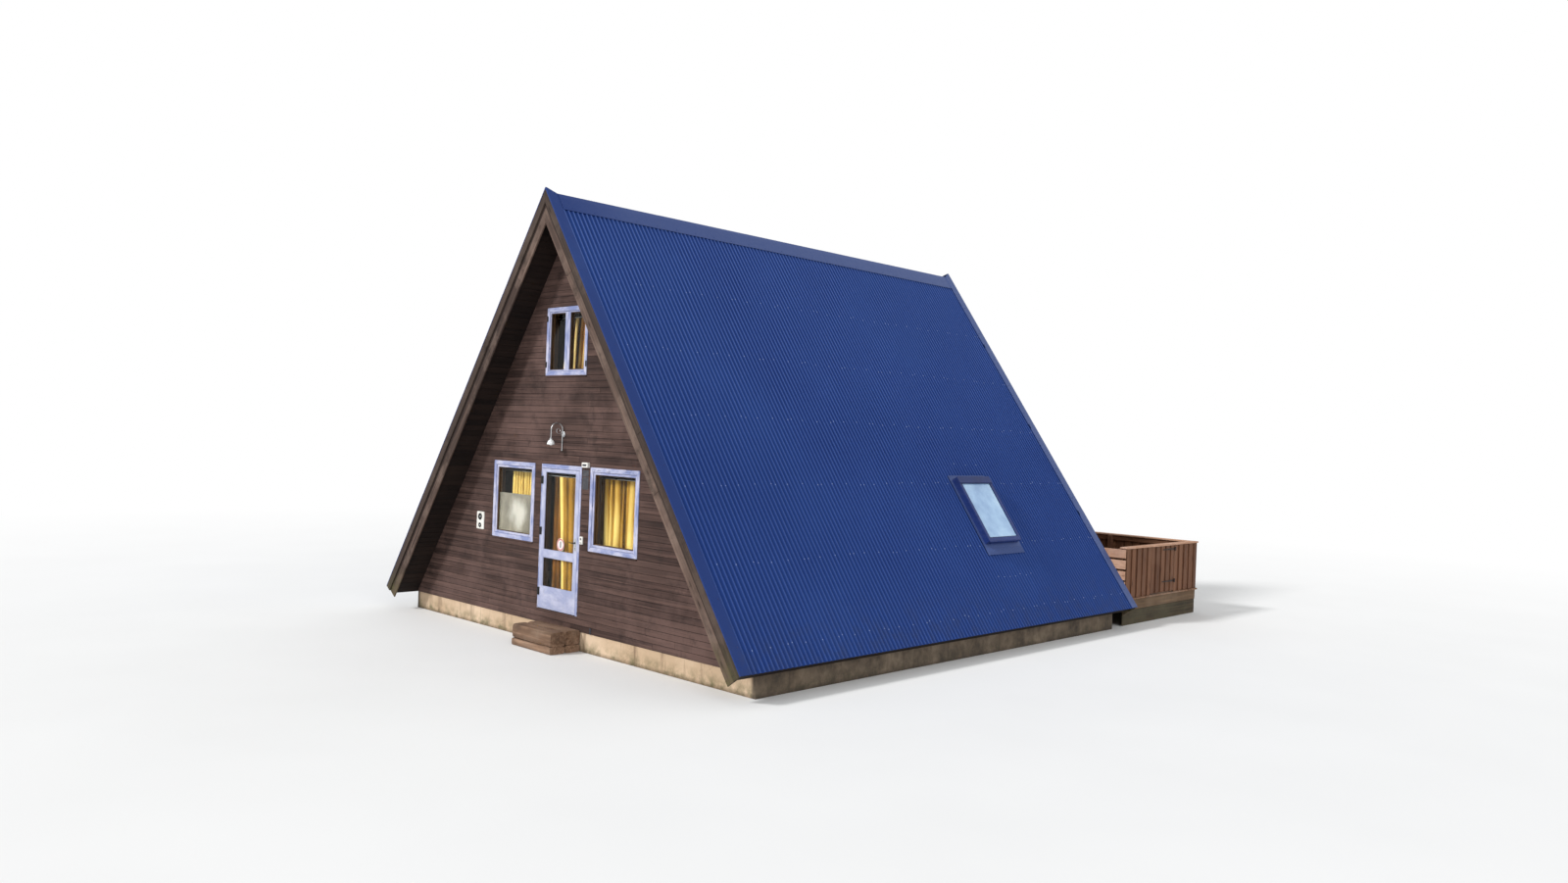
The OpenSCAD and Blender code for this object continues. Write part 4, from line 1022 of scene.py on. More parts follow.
# Cladding
boards = {
    "height": 0.087,
    "groove": 0.0022,
    "proud": 0.004,
    "lengths": (1.2, 3.4),
    "endGap": 0.0016,
    "openings": (
        (-1.781, -0.672, 1.405, 2.563),
        (0.697, 1.781, 1.405, 2.563),
        (-0.491, 0.511, 3.839, 4.817),
    ),
    "lap": 0.036,
}


def cladGable(back):
    pile = Pile(20 + back)
    rng = random.Random(40 + back)
    lap, gap = boards["lap"], boards["endGap"] / 2
    holes = [(x0 + lap, x1 - lap, z0 + lap, z1 - lap) for x0, x1, z0, z1 in boards["openings"]]
    holes.append((cabin["doorX"], cabin["doorX"] + cabin["doorWide"], cabin["floor"], cabin["head"]))
    ys = gableSpan(cabin["gableSet"] - boards["proud"], cabin["gableSet"] - 0.0001, back)
    inside = cabin["liningIn"] + 0.0008
    z = cabin["plinthTop"]
    while halfAt(z + boards["height"], inside) > 0.02:
        z0, z1 = z + boards["groove"], z + boards["height"] - boards["groove"]
        tones = rng.random()
        half = halfAt(z0, inside)
        marks = sorted(set([-half, half] + [x for h in holes if h[2] < z1 and h[3] > z0 for x in h[:2]]))
        for left, right in zip(marks[:-1], marks[1:]):
            spans = [(z0, z1)]
            for h in holes:
                if h[0] < (left + right) / 2 < h[1]:
                    spans = [part for p, q in spans for part in ((p, min(q, h[2])), (max(p, h[3]), q))]
                    spans = [(a, b) for a, b in spans if b - a > 0.012]
            for low, high in spans:
                limits = [halfAt(low, inside), halfAt(high, inside)]
                for x0, x1 in splitRun(rng, left, right, *boards["lengths"]):
                    # the outer ends are cut along the slope
                    starts = [max(x0, -limit) + gap for limit in limits]
                    ends = [min(x1, limit) - gap for limit in limits]
                    if ends[1] - starts[1] < 0.01:
                        continue
                    corners = [[list(zip(xs, (v, v), (low, high))) for v in ys] for xs in (starts, ends)]
                    pile.block(corners, 0.0022, 0, min(1, max(0, tones + rng.uniform(-0.35, 0.35))))
        z += boards["height"]
    pile.build("claddingBack" if back else "claddingFront", "cladding", slot="cladding")


cladGable(False)
cladGable(True)
print("cabin: gables clad")

# Windows
windows = {
    "casing": 0.060,
    "casingOut": 0.014,
    "lap": 0.0363,
    "liner": 0.028,
    "inset": 0.097,
    "upperInset": 0.082,
    "stile": 0.120,
    "bead": 0.011,
    "rearBead": 0.018,
    "frameDepth": 0.080,
    "hingeIn": 0.158,
    "hingeHigh": 0.084,
}


def windowWood(back):
    pile, inside, drips = Pile(50 + back), Pile(52 + back), Pile(54 + back)
    lap, inner = windows["lap"], windows["lap"] + 0.030

    def depths(near, far):
        # counted from the face of the wall
        return gableSpan(cabin["gableSet"] + near, cabin["gableSet"] + far, back)

    for n, (x0, x1, z0, z1) in enumerate(boards["openings"]):
        opening = (x0 + lap, x1 - lap), (z0 + lap, z1 - lap)
        ringFrame(pile, (x0, x1), (z0, z1), windows["casing"], depths(-windows["casingOut"], -fit), 0.003)
        ringFrame(pile, *opening, windows["liner"], depths(-0.002, 0.010), 0.002)
        ringFrame(inside, *opening, windows["liner"], depths(0.0102, windows["frameDepth"]), 0.002)
        rail = (windows["upperInset"] if n == 2 else windows["inset"]) - inner
        sashes = ((x0 + inner, x1 - inner, rail, rail),)
        if n == 2:
            # two sashes that meet in the middle
            middle, half = (x0 + x1) / 2, windows["stile"] / 2 - 0.0015
            sashes = ((x0 + inner, middle - 0.0015, rail, half), (middle + 0.0015, x1 - inner, half, rail))
        low, high = z0 + inner, z1 - inner
        for start, end, left, right in sashes:
            for wood, ys in ((pile, depths(-0.0015, 0.0105)), (inside, depths(0.0108, 0.0255))):
                for x, wide in ((start, left), (end - right, right)):
                    wood.box((x, ys[0], low), (x + wide, ys[1], high), 0.002, 2)
                near, far = start + left + 0.0006, end - right - 0.0006
                for z in (low, high - rail):
                    wood.box((near, ys[0], z), (far, ys[1], z + rail), 0.002, 0)
            beads = (
                (0.0005, windows["bead"], depths(0.013, 0.0258)),
                (0.009, windows["rearBead"], depths(0.0425, windows["frameDepth"] - 0.004)),
            )
            for grow, wide, ys in beads:
                x, z = (start + left - grow, end - right + grow), (low + rail - grow, high - rail + grow)
                ringFrame(inside, x, z, wide, ys, 0.003)
        ys = depths(-windows["casingOut"] - 0.010, -fit)
        drips.box((x0 + 0.002, ys[0], z0 - 0.018), (x1 - 0.002, ys[1], z0 - 0.0004), 0.003, 0)
    node = "back_window_frames" if back else "front_window_frames"
    end = "Back" if back else "Front"
    pile.build("windowFrames" + end, "paint", slot="white_paint", hides=node)
    inside.build("windowInnerFrames" + end, "inner", slot="white_paint", hides=node)
    drips.build("windowDrips" + end, "cladding", slot="white_paint")


def casementHinges():
    # black butt hinges at both outer sides of the upper window
    x0, x1, z0, z1 = boards["openings"][2]
    tall, face = windows["hingeHigh"], cabin["gableSet"] - windows["casingOut"]
    barrels, leaves = Shape(), Pile(56)
    for back in (False, True):
        y = gableY(face - 0.003, back)
        ys = gableSpan(face - 0.004, face + 0.0005, back)
        for x, side in ((x0, 1), (x1, -1)):
            near, far = sorted((x + side * 0.008, x + side * 0.030))
            for z in (z0 + windows["hingeIn"], z1 - windows["hingeIn"]):
                low = z - tall / 2
                barrels.barrel((x + side * 0.006, y, low), 0.0055, tall, 0.0015, 0.0012, 16)
                leaves.box((near, ys[0], low + 0.002), (far, ys[1], low + tall - 0.002), 0.0008, 2)
    barrels.build("casementBarrels", "iron", slot="black_iron", hides="hinge_brackets")
    leaves.build("casementHinges", "iron", slot="black_iron", hides="hinge_brackets")


windowWood(False)
windowWood(True)
casementHinges()
for node in ("front_window_glass", "back_window_glass", "door_glass"):
    dress(node, "pane")
print("cabin: windows framed and glazed")

# Curtains and the frosted screen
curtain = {
    "y": 0.6353,
    "step": 12,
    "rows": 22,
    "rods": ((-1.841, -0.612, 2.413), (0.637, 1.841, 2.413), (-0.551, 0.571, 4.682)),
    "swing": 0.020,
}
# hem: how far the near side shifts at the foot, rise: how much paler the foot is than the head, as painted
# light,
# lights: painted light and shade across from the near side to the far one
curtainCloths = (
    {
        "name": "curtainLeft", "x": (-1.570, -0.612), "z": (1.345, 2.406), "hem": 0.0, "cloth": "gold",
        "pleat": 0.082, "rise": 0.1, "lights": ((0, 0.86), (0.3, 0.8), (0.6, 0.72), (1, 0.6)),
    },
    {
        "name": "curtainRight", "x": (0.650, 1.841), "z": (1.345, 2.406), "hem": 0.0, "cloth": "gold",
        "pleat": 0.125, "rise": 0.45, "lights": (
            (0, -0.2), (0.100, -0.3), (0.115, 0.66), (0.40, 0.6), (0.42, 0.3), (0.48, 0.28), (0.495, -0.1),
            (0.515, -0.1), (0.53, 0.74), (0.62, 0.7), (1, 0.5)),
    },
    {
        "name": "curtainUpper", "x": (-0.250, 0.571), "z": (3.779, 4.675), "hem": -0.105, "cloth": "amber",
        "pleat": 0.100, "rise": 0.1, "lights": (
            (0, 1.0), (0.05, 0.9), (0.09, 0.16), (0.24, 0.12), (0.262, 1.0), (0.318, 1.0), (0.345, 0.1),
            (0.385, 0.18), (0.42, 0.52), (1, 0.4)),
    },
)


def pleatedCloth(name, sheet, y, swing, seed, back, body, hides):
    # a gathered sheet: folds with broad crests and narrow valleys, looser towards the hem
    rng = random.Random(seed)
    (x0, x1), (z0, z1) = sheet["x"], sheet["z"]
    folds = max(2, round((x1 - x0) / sheet["pleat"]))
    rows, cols = curtain["rows"], folds * curtain["step"]
    widths = [rng.uniform(0.6, 1.4) for _ in range(folds)]
    marks = np.concatenate([[0], np.cumsum(widths)]) / sum(widths)
    drift = [rng.uniform(-0.35, 0.35) for _ in range(folds + 1)]
    sizes = [rng.uniform(0.55, 1.0) for _ in range(folds + 1)]
    points, grain, tones = [], [], []
    for r in range(rows + 1):
        fall = r / rows
        left = x0 + sheet["hem"] * fall ** 0.9
        run = 0.0
        for c in range(cols + 1):
            turn = c / curtain["step"]
            fold = min(int(turn), folds - 1)
            mark, shift, size = [v[fold] * (1 - turn + fold) + v[fold + 1] * (turn - fold)
                                 for v in (marks, drift, sizes)]
            at = min(1, max(0, mark + shift * 0.018 * fall / folds * 5))
            crest = math.sqrt(0.5 - 0.5 * math.cos(2 * math.pi * turn + 0.35 * math.sin(4 * fall + fold)))
            deep = swing * size * (0.6 + 0.4 * fall) * (1 - 2 * crest)
            point = (left + (x1 - left) * at, gableY(y + deep, back), z1 - (z1 - z0) * fall)
            if c:
                run += math.dist(point, points[-1])
            points.append(point)
            grain.append((run, (z1 - z0) * fall, 0))
            # painted light: the light across and down the sheet, paler on the crests and darker in the
            # valleys
            light = np.interp(at, *zip(*sheet["lights"])) + sheet["rise"] * (fall - 0.5)
            tones.append(light + 27 * swing * size * (crest - 0.62))
    starts = [r * (cols + 1) + c for r in range(rows) for c in range(cols)]
    faces = [[a, a + 1, a + cols + 2, a + cols + 1] for a in starts]
    obj = meshObject(name, points, faces, sheet["cloth"], grain, tones, smooth=70)
    settle(obj, body, hides)


def hangCurtains(back):
    for n, sheet in enumerate(curtainCloths):
        name = sheet["name"] + ("Back" if back else "Front")
        pleatedCloth(name, sheet, curtain["y"], curtain["swing"], 70 + n + 10 * back, back,
                     "cabin", "curtains")


def curtainRods():
    rods = Shape()
    for back in (False, True):
        y, wall = gableY(curtain["y"], back), gableY(wallBack + fit, back)
        for x0, x1, z in curtain["rods"]:
            rods.tube([(x0, y, z), (x1, y, z)], 0.006, 12)
            for x in (x0 + 0.012, x1 - 0.012):
                rods.tube([(x, wall, z), (x, y, z)], 0.0045, 10)
                rods.lathe([(0.013, 0.0), (0.012, 0.003)], (x, wall, z), (0, -1 if back else 1, 0), 16)
    rods.build("curtainRods", "chrome", slot="lamp_metal")


curtainRods()
hangCurtains(False)
hangCurtains(True)


screen = {
    "x": (-1.692, -0.761), "z": (1.494, 2.080), "y": (0.4923, 0.4961), "thin": (-1.16, 1.80),
    "deep": srgb(104, 99, 87), "mid": srgb(128, 122, 108), "pale": srgb(170, 163, 147),
    "yellowed": srgb(112, 103, 82), "bright": srgb(206, 202, 194),
}


def screenFinish():
    b = Brush("frostedScreen")
    where = b.place()
    clouds = b.noise(b.scaled(where, (1, 1, 0.6)), 3.0, 5.0, 0.6)
    # the film is thin and pale in one patch, and yellowed towards the foot
    thinX, thinZ = screen["thin"]
    away = b.length(b.scaled(where, (1, 0, 1.4), shift=(-thinX, 0, -1.4 * thinZ)))
    thin = b.span(b.sum("ADD", away, b.span(clouds, 0.3, 0.7, 0.16, -0.16)), 0.36, 0.06, 0.0, 0.7)
    colour = b.ramp(clouds, [(0.3, screen["deep"]), (0.52, screen["mid"]), (0.72, screen["pale"])])
    low = b.span(b.parts(where)["Z"], screen["z"][0] + 0.3, screen["z"][0], 0.0, 0.5)
    colour = b.blend(thin, b.blend(low, colour, screen["yellowed"]), screen["bright"])
    return b.finish(colour, 0.55, b.bump(b.noise(where, 260.0, 2.0), 0.15, 0.0004), Coat_Weight=0.2)


def frostedScreen():
    finishes["screen"] = screenFinish()
    pane = Pile(62)
    low, high = zip(screen["x"], [frontY + v for v in screen["y"]], screen["z"])
    pane.box(low, high, 0.0012, 0)
    pane.build("frostedScreen", "screen", slot="screen", hides="window_screen")


frostedScreen()
print("cabin: curtains hung")

# Entrance door, and the fixed door of the rear gable
door = {
    "x": (-0.479, 0.438),
    "z": (0.480, 2.496),
    "rearX": (-0.490, 0.475),
    "rearZ": (0.480, 2.553),
    "face": 0.440,
    "thick": 0.045,
    "pane": 0.0150,
    "stile": 0.084,
    "kick": 0.315,
    "rail": (0.742, 0.848),
    "head": 0.042,
    "jambHinge": 0.016,
    "jambLock": 0.042,
    "jambHead": 0.062,
    "jambEnd": 0.600,
    "split": 0.4875,
    "stopY": (0.490, 0.598),
    "stop": 0.020,
    "handleUp": 1.010,
    "stickerX": 0.019,
    "stickerZ": 1.430,
    "sticker": 0.090,
    "hingeX": -0.4855,
    "hingeY": 0.4327,
    "hingeZ": (0.720, 1.593, 2.331),
    "hingeHigh": 0.062,
}


def doorLeaf(back):
    pile, inside = Pile(80 + back), Pile(88 + back)
    (x0, x1), (z0, z1) = (door["rearX"], door["rearZ"]) if back else (door["x"], door["z"])
    y0, y1, stile = door["face"], door["face"] + door["thick"], door["stile"]
    kick, low, high, head = z0 + door["kick"], z0 + door["rail"][0], z0 + door["rail"][1], z1 - door["head"]
    left, right = x0 + stile, x1 - stile
    between = (left + 0.0005, right - 0.0005)
    pane = y0 + door["pane"]

    def piece(x, z, y, along, chamfer=0.0025):
        # painted as deep as the panes, and brown behind them
        for wood, near, far in ((pile, y[0], min(y[1], pane)), (inside, max(y[0], pane + 0.0002), y[1])):
            if far > near:
                ys = gableSpan(near, far, back)
                wood.box((x[0], ys[0], z[0]), (x[1], ys[1], z[1]), min(chamfer, (far - near) / 3), along)

    for x in (x0, right):
        piece((x, x + stile), (z0, z1), (y0, y1), 2)
    for z in ((z0, z0 + 0.012), (kick - 0.010, kick), (low, high), (head, z1)):
        piece(between, z, (y0, y1), 0)
    piece(between, (z0 + 0.012, kick - 0.010), (y0 + 0.0015, y1 - 0.002), 0)
    # the sheet screwed over the foot of the door, and beads round both panes
    piece((x0 + 0.010, x1 - 0.010), (z0 + 0.006, kick + 0.006), (y0 - 0.0016, y0 - 0.0001), 0, 0.0008)
    beads = (
        (pile, 0.0005, 0.010, (y0 + 0.004, y0 + 0.0148)),
        (inside, 0.009, 0.014, (y0 + 0.0312, y1 - 0.001)),
    )
    for za, zb in ((kick, low), (high, head)):
        for wood, grow, wide, ys in beads:
            x, z = (left - grow, right + grow), (za - grow, zb + grow)
            ringFrame(wood, x, z, wide, gableSpan(*ys, back), 0.003)
    names, body, node = ("doorLeafWood", "doorLeafInside"), "door", "door_leaf"
    if back:
        names, body, node = ("backDoorLeaf", "backDoorInside"), "cabin", "back_door"
    pile.build(names[0], "doorPaint", body, "white_paint", node)
    inside.build(names[1], "inner", body, "white_paint", node)


def doorSurround(back):
    pile, inside = Pile(83 + back), Pile(86 + back)
    x0, x1 = cabin["doorX"] + fit, cabin["doorX"] + cabin["doorWide"] - fit
    z0, z1 = cabin["floor"] + fit, cabin["head"] - fit
    left, right = x0 + door["jambHinge"], x1 - door["jambLock"]
    top, stop = z1 - door["jambHead"], door["stop"]
    split = door["split"]
    for wood, near, far in ((pile, door["face"], split), (inside, split + fit, door["jambEnd"])):
        y0, y1 = gableSpan(near, far, back)
        wood.box((x0, y0, z0), (left - fit, y1, z1), 0.0025, 2)
        wood.box((right + fit, y0, z0), (x1, y1, z1), 0.0025, 2)
        wood.box((left, y0, top + fit), (right, y1, z1), 0.0025, 0)
    if not back:
        y0, y1 = gableSpan(*door["stopY"])
        for a, b in ((left, left + stop), (right - stop, right)):
            inside.box((a, y0, z0), (b, y1, top), 0.0025, 2)
        inside.box((left + stop, y0, top - stop), (right - stop, y1, top), 0.0025, 0)
    names, node = ("doorSurround", "doorSurroundInside"), "door_frame"
    if back:
        names, node = ("backDoorSurround", "backDoorSurroundInside"), "back_door"
    pile.build(names[0], "paint", slot="white_paint", hides=node)
    inside.build(names[1], "inner", slot="white_paint", hides=node)


def doorThreshold():
    # a strip on the floor, worn dark
    x0 = cabin["doorX"] + fit + door["jambHinge"]
    x1 = cabin["doorX"] + cabin["doorWide"] - fit - door["jambLock"]
    z0 = cabin["floor"] + fit
    sill = Pile(85)
    y0, y1 = gableY(door["face"]), gableY(door["stopY"][1])
    sill.box((x0 + 0.001, y0, z0), (x1 - 0.001, y1, z0 + 0.0045), 0.0015, 0)
    sill.build("doorThreshold", "iron", slot="black_iron")


def doorSticker():
    finishes["sticker"] = stickerFinish()
    disc = Shape()
    disc.lathe([(door["sticker"], 0.0), (door["sticker"], fit)],
               (door["stickerX"], gableY(door["face"] + door["pane"]), door["stickerZ"]), (0, -1, 0), 48)
    disc.build("doorSticker", "sticker", "door", "plate_white")


def stickerFinish():
    # pale paper with a red ring and a plain bar
    b = Brush("stickerPaper")
    where = b.place()
    centre = b.scaled(where, (1, 0, 1), shift=(-door["stickerX"], 0, -door["stickerZ"]))
    far, across = b.length(centre), b.parts(centre)
    ring = b.sum("MULTIPLY", b.span(far, 0.066, 0.068), b.span(far, 0.084, 0.082))
    bar = b.sum("MULTIPLY", b.span(b.sum("ABSOLUTE", across["X"]), 0.015, 0.013),
                b.span(b.sum("ABSOLUTE", across["Z"]), 0.046, 0.044))
    spots = b.noise(where, 60.0, 4.0, 0.6)
    paper = b.blend(b.span(spots, 0.4, 0.7), srgb(232, 228, 226), srgb(214, 206, 204))
    colour = b.blend(bar, b.blend(ring, paper, srgb(190, 46, 44)), srgb(92, 84, 90))
    return b.finish(colour, b.span(spots, 0.3, 0.7, 0.3, 0.45))


def doorHinges():
    # the halves that ride on the leaf
    barrels, leaves = Shape(), Pile(87)
    x, y, half = door["hingeX"], gableY(door["hingeY"]), door["hingeHigh"] / 2
    edge, face = door["x"][0], gableY(door["face"]) - fit
    for z in door["hingeZ"]:
        barrels.barrel((x, y, z - half), 0.007, door["hingeHigh"], 0.001, 0.0012, 20)
        leaves.box((x, y - 0.007, z - half), (edge + 0.034, y - 0.004, z + half), 0.001, 2)
        leaves.box((edge + 0.006, y - 0.0065, z - 0.056), (edge + 0.034, face, z + 0.056), 0.001, 2)
    barrels.build("doorHingeBarrels", "iron", "door", "black_iron", "door_fittings")
    leaves.build("doorHingeLeaves", "iron", "door", "black_iron", "door_fittings")


def doorHandles():
    outside, inside = gableY(door["face"]) - fit, gableY(door["face"] + door["thick"]) + fit
    x, z = door["x"][1] - door["stile"] / 2, door["z"][0] + door["handleUp"]
    plate = Pile(86)
    for near, far in ((outside - 0.006, outside), (inside, inside + 0.006)):
        plate.box((x - 0.018, near, z - 0.120), (x + 0.018, far, z + 0.060), 0.0025, 2)
    plate.build("doorHandlePlates", "chrome", "door", "black_iron", "door_fittings")
    lever = Shape()
    collar = [(0.013, 0.0), (0.012, 0.004), (0.009, 0.006), (0.009, 0.030)]
    lever.lathe(collar, (x, outside - 0.005, z), (0, -1, 0), 20)
    path = [(x + 0.006, outside - 0.027, z)]
    for t in np.linspace(0.05, 1, 12):
        bow = math.sin(math.pi * t)
        path.append((x - 0.112 * t, outside - 0.028 - 0.003 * bow, z - 0.004 * bow))
    lever.tube(path, [0.0075] + [0.0088 - 0.0026 * t for t in np.linspace(0, 1, 11)] + [0.0072], 14)
    knob = [(0.008, 0.0), (0.008, 0.014), (0.017, 0.020), (0.019, 0.030), (0.017, 0.040), (0.008, 0.044)]
    lever.lathe(knob, (x, inside + 0.005, z), (0, 1, 0), 28)
    # the cover of the keyhole
    lever.lathe([(0.0085, 0.0), (0.008, 0.0012)], (x, outside - 0.006, z - 0.078), (0, -1, 0), 16)
    lever.build("doorHandles", "iron", "door", "black_iron", "door_fittings")


doorLeaf(False)
doorLeaf(True)
doorSurround(False)
doorThreshold()
doorSurround(True)
doorSticker()
doorHandles()
doorHinges()


doorRod = {"x": (-0.392, 0.352), "y": 0.5040, "z": 2.396, "wood": 0.4853, "brackets": (-0.385, 0.345)}


def doorCurtainRod():
    rod = Shape()
    y, z = gableY(doorRod["y"]), doorRod["z"]
    rod.tube([(x, y, z) for x in doorRod["x"]], 0.005, 12)
    for x in doorRod["brackets"]:
        rod.tube([(x, gableY(doorRod["wood"]), z), (x, y, z)], 0.004, 10)
    rod.build("doorCurtainRod", "chrome", "door", "lamp_metal")


# the lights here are painted light and shade, as for the window curtains
doorCloths = (
    {
        "name": "doorCurtainGold", "x": (-0.124, 0.352), "z": (0.775, 2.389), "hem": 0.130, "cloth": "gold",
        "pleat": 0.135, "rise": 0.0, "y": 0.499, "swing": 0.012, "lights": (
            (0, 0.9), (0.16, 0.84), (0.23, 0.38), (0.42, 0.30), (0.6, 0.36), (0.8, 0.32), (0.87, 0.72),
            (1, 0.7)),
    },
    {
        "name": "doorCurtainAmber", "x": (-0.262, 0.090), "z": (0.775, 2.389), "hem": 0.0, "cloth": "amber",
        "pleat": 0.120, "rise": 0.0, "y": 0.511, "swing": 0.010, "lights": (
            (0, -0.1), (0.12, 0.12), (0.34, 0.30), (0.6, 0.22), (1, 0.2)),
    },
)


doorCurtainRod()
for n, sheet in enumerate(doorCloths):
    pleatedCloth(sheet["name"], sheet, sheet["y"], sheet["swing"], 91 + n, False, "door", "door_curtain")
print("cabin: doors hung")

# Skylight in the right slope
skylight = {
    "y": (5.970, 6.870),
    "up": (1.420, 2.600),
    "rise": 0.100,
    "frame": 0.065,
    "sash": 0.040,
    "cover": 0.130,
    "skirt": 0.195,
    "wing": 0.055,
    "pleats": 25,
}


def skyBlock(pile, up, y, out, chamfer):
    slopeBlock(pile, 1, up, [-v for v in out], [frontY + v for v in y], chamfer, 1)


def skyRing(pile, grow, border, out, chamfer):
    ups = (skylight["up"][0] - grow, skylight["up"][1] + grow)
    ys = (skylight["y"][0] - grow, skylight["y"][1] + grow)
    ringFrame(pile, ys, ups, border, out, chamfer, lambda y, o, up: onSlope(1, up, frontY + y, o))


def skylightWindow():
    rise, sash, wide = skylight["rise"], skylight["sash"], skylight["frame"]
    (low, top), (y0, y1) = skylight["up"], skylight["y"]
    metal = Pile(101)
    skyRing(metal, 0.0, wide, (rise - 0.014, rise), 0.004)
    skyRing(metal, -0.0025, wide - 0.012, (rise - sash, rise - 0.015), 0.002)
    skyRing(metal, 0.0, wide - 0.017, (-0.2298, rise - sash - 0.002), 0.002)
    # the cover over the head in two parts, the lip at the foot and its two brackets
    edge, cover = top - skylight["cover"], (y0 - 0.004, y1 + 0.004)
    skyBlock(metal, (edge + 0.012, top + 0.004), cover, (rise + 0.0005, rise + 0.014), 0.004)
    skyBlock(metal, (edge - 0.001, edge + 0.011), cover, (rise + 0.0005, rise + 0.008), 0.002)
    lip = (y0 + 0.010, y1 - 0.010)
    skyBlock(metal, (low - 0.012, low + 0.002), lip, (rise - 0.030, rise - 0.004), 0.003)
    for y in (y0 + 0.12, y1 - 0.12):
        skyBlock(metal, (low - 0.006, low + 0.006), (y - 0.02, y + 0.02), (0.015, rise - 0.030), 0.002)
    metal.build("skylightFrameMetal", "darkTrim", slot="skylight_metal", hides="skylight_frame")
    seal = Pile(102)
    skyRing(seal, -wide + 0.0005, 0.008, (rise - 0.0127, rise - 0.0075), 0.001)
    seal.build("skylightSeal", "iron", slot="black_iron")


def skylightPane():
    b = Brush("skylightPane")
    where = b.place()
    clouds = b.noise(where, 2.2, 5.0, 0.6)
    # painted reflection of a cloudy sky as the colour of the glass
    skyReflection = (srgb(128, 164, 206), srgb(158, 194, 228), srgb(190, 218, 240))
    colour = b.ramp(clouds, list(zip((0.32, 0.52, 0.72), skyReflection)))
    dust = b.noise(where, 60.0, 5.0, 0.7)
    colour = b.blend(b.span(dust, 0.6, 0.75, 0.0, 0.3), colour, srgb(120, 134, 156))
    rough, normal = b.span(dust, 0.4, 0.7, 0.06, 0.16), b.bump(clouds, 0.05, 0.004)
    finishes["skylight"] = b.finish(colour, rough, normal, Coat_Weight=0.4, Specular_IOR_Level=0.6)
    dress("skylight_glass", "skylight")


def skylightApron():
    (low, top), (left, right) = skylight["up"], skylight["y"]
    y0, y1 = left - skylight["wing"], right + skylight["wing"]
    # side gutters and head piece lie on the crests of the sheet
    flats = (
        ((low - 0.02, top + 0.085), (y0, left - 0.0004), 0.0018),
        ((low - 0.02, top + 0.085), (right + 0.0004, y1), 0.0018),
        ((top + 0.0004, top + 0.085), (left, right), 0.0030),
        ((low - 0.075, low - 0.0004), (y0, y1), 0.0032),
    )
    apron = Shape()
    for ups, ys, out in flats:
        apron.skin(*[[[onSlope(1, up, frontY + y, v) for y in ys] for up in ups]
                     for v in (out, out - trim["thick"])])
    apron.build("skylightFlashingMetal", "trim", slot="roof_trim", hides="skylight_flashing", smooth=30)
    # the pleats flatten towards the frame
    steps = skylight["pleats"] * 8
    waves = [0.5 - 0.5 * math.cos(2 * math.pi * k / 8) for k in range(steps + 1)]
    rows = ((low - skylight["skirt"], 1.0), (low - 0.13, 1.0), (low - 0.075, 0.35), (low - 0.060, 0.0))
    skirt = Shape()
    ys = [frontY + y0 + (y1 - y0) * k / steps for k in range(steps + 1)]
    skirt.skin(*[[[onSlope(1, up, y, out + 0.0160 * lift * wave) for y, wave in zip(ys, waves)]
                  for up, lift in rows] for out in (0.0020, 0.0009)])
    skirt.build("skylightSkirt", "trim", slot="roof_trim", hides="skylight_flashing", smooth=45)


skylightWindow()
skylightPane()
skylightApron()
print("cabin: skylight set")

# Swan-neck lamp
lamp = {
    "arch": 3.065, "reach": 0.190, "rod": 0.295, "away": 0.016, "pipe": 0.0078, "scroll": 0.062,
    "shadeDown": 0.212,
    "rose": ((0.045, 0.0), (0.044, 0.005), (0.036, 0.010), (0.018, 0.016), (0.010, 0.019)),
    "knob": ((0.010, 0.0), (0.014, 0.006), (0.010, 0.012)),
    "holder": ((0.010, 0.0), (0.021, 0.003), (0.022, 0.016), (0.016, 0.026), (0.009, 0.030)),
    "shade": (
        (0.0135, 0.0735), (0.022, 0.067), (0.035, 0.054), (0.0465, 0.036), (0.0530, 0.016), (0.0550, 0.004),
        (0.0550, 0.0)),
    "glass": 0.0025,
    "bulb": (
        (0.006, 0.060), (0.015, 0.052), (0.026, 0.030), (0.029, 0.012), (0.025, -0.004), (0.013, -0.013),
        (0.002, -0.015)),
}


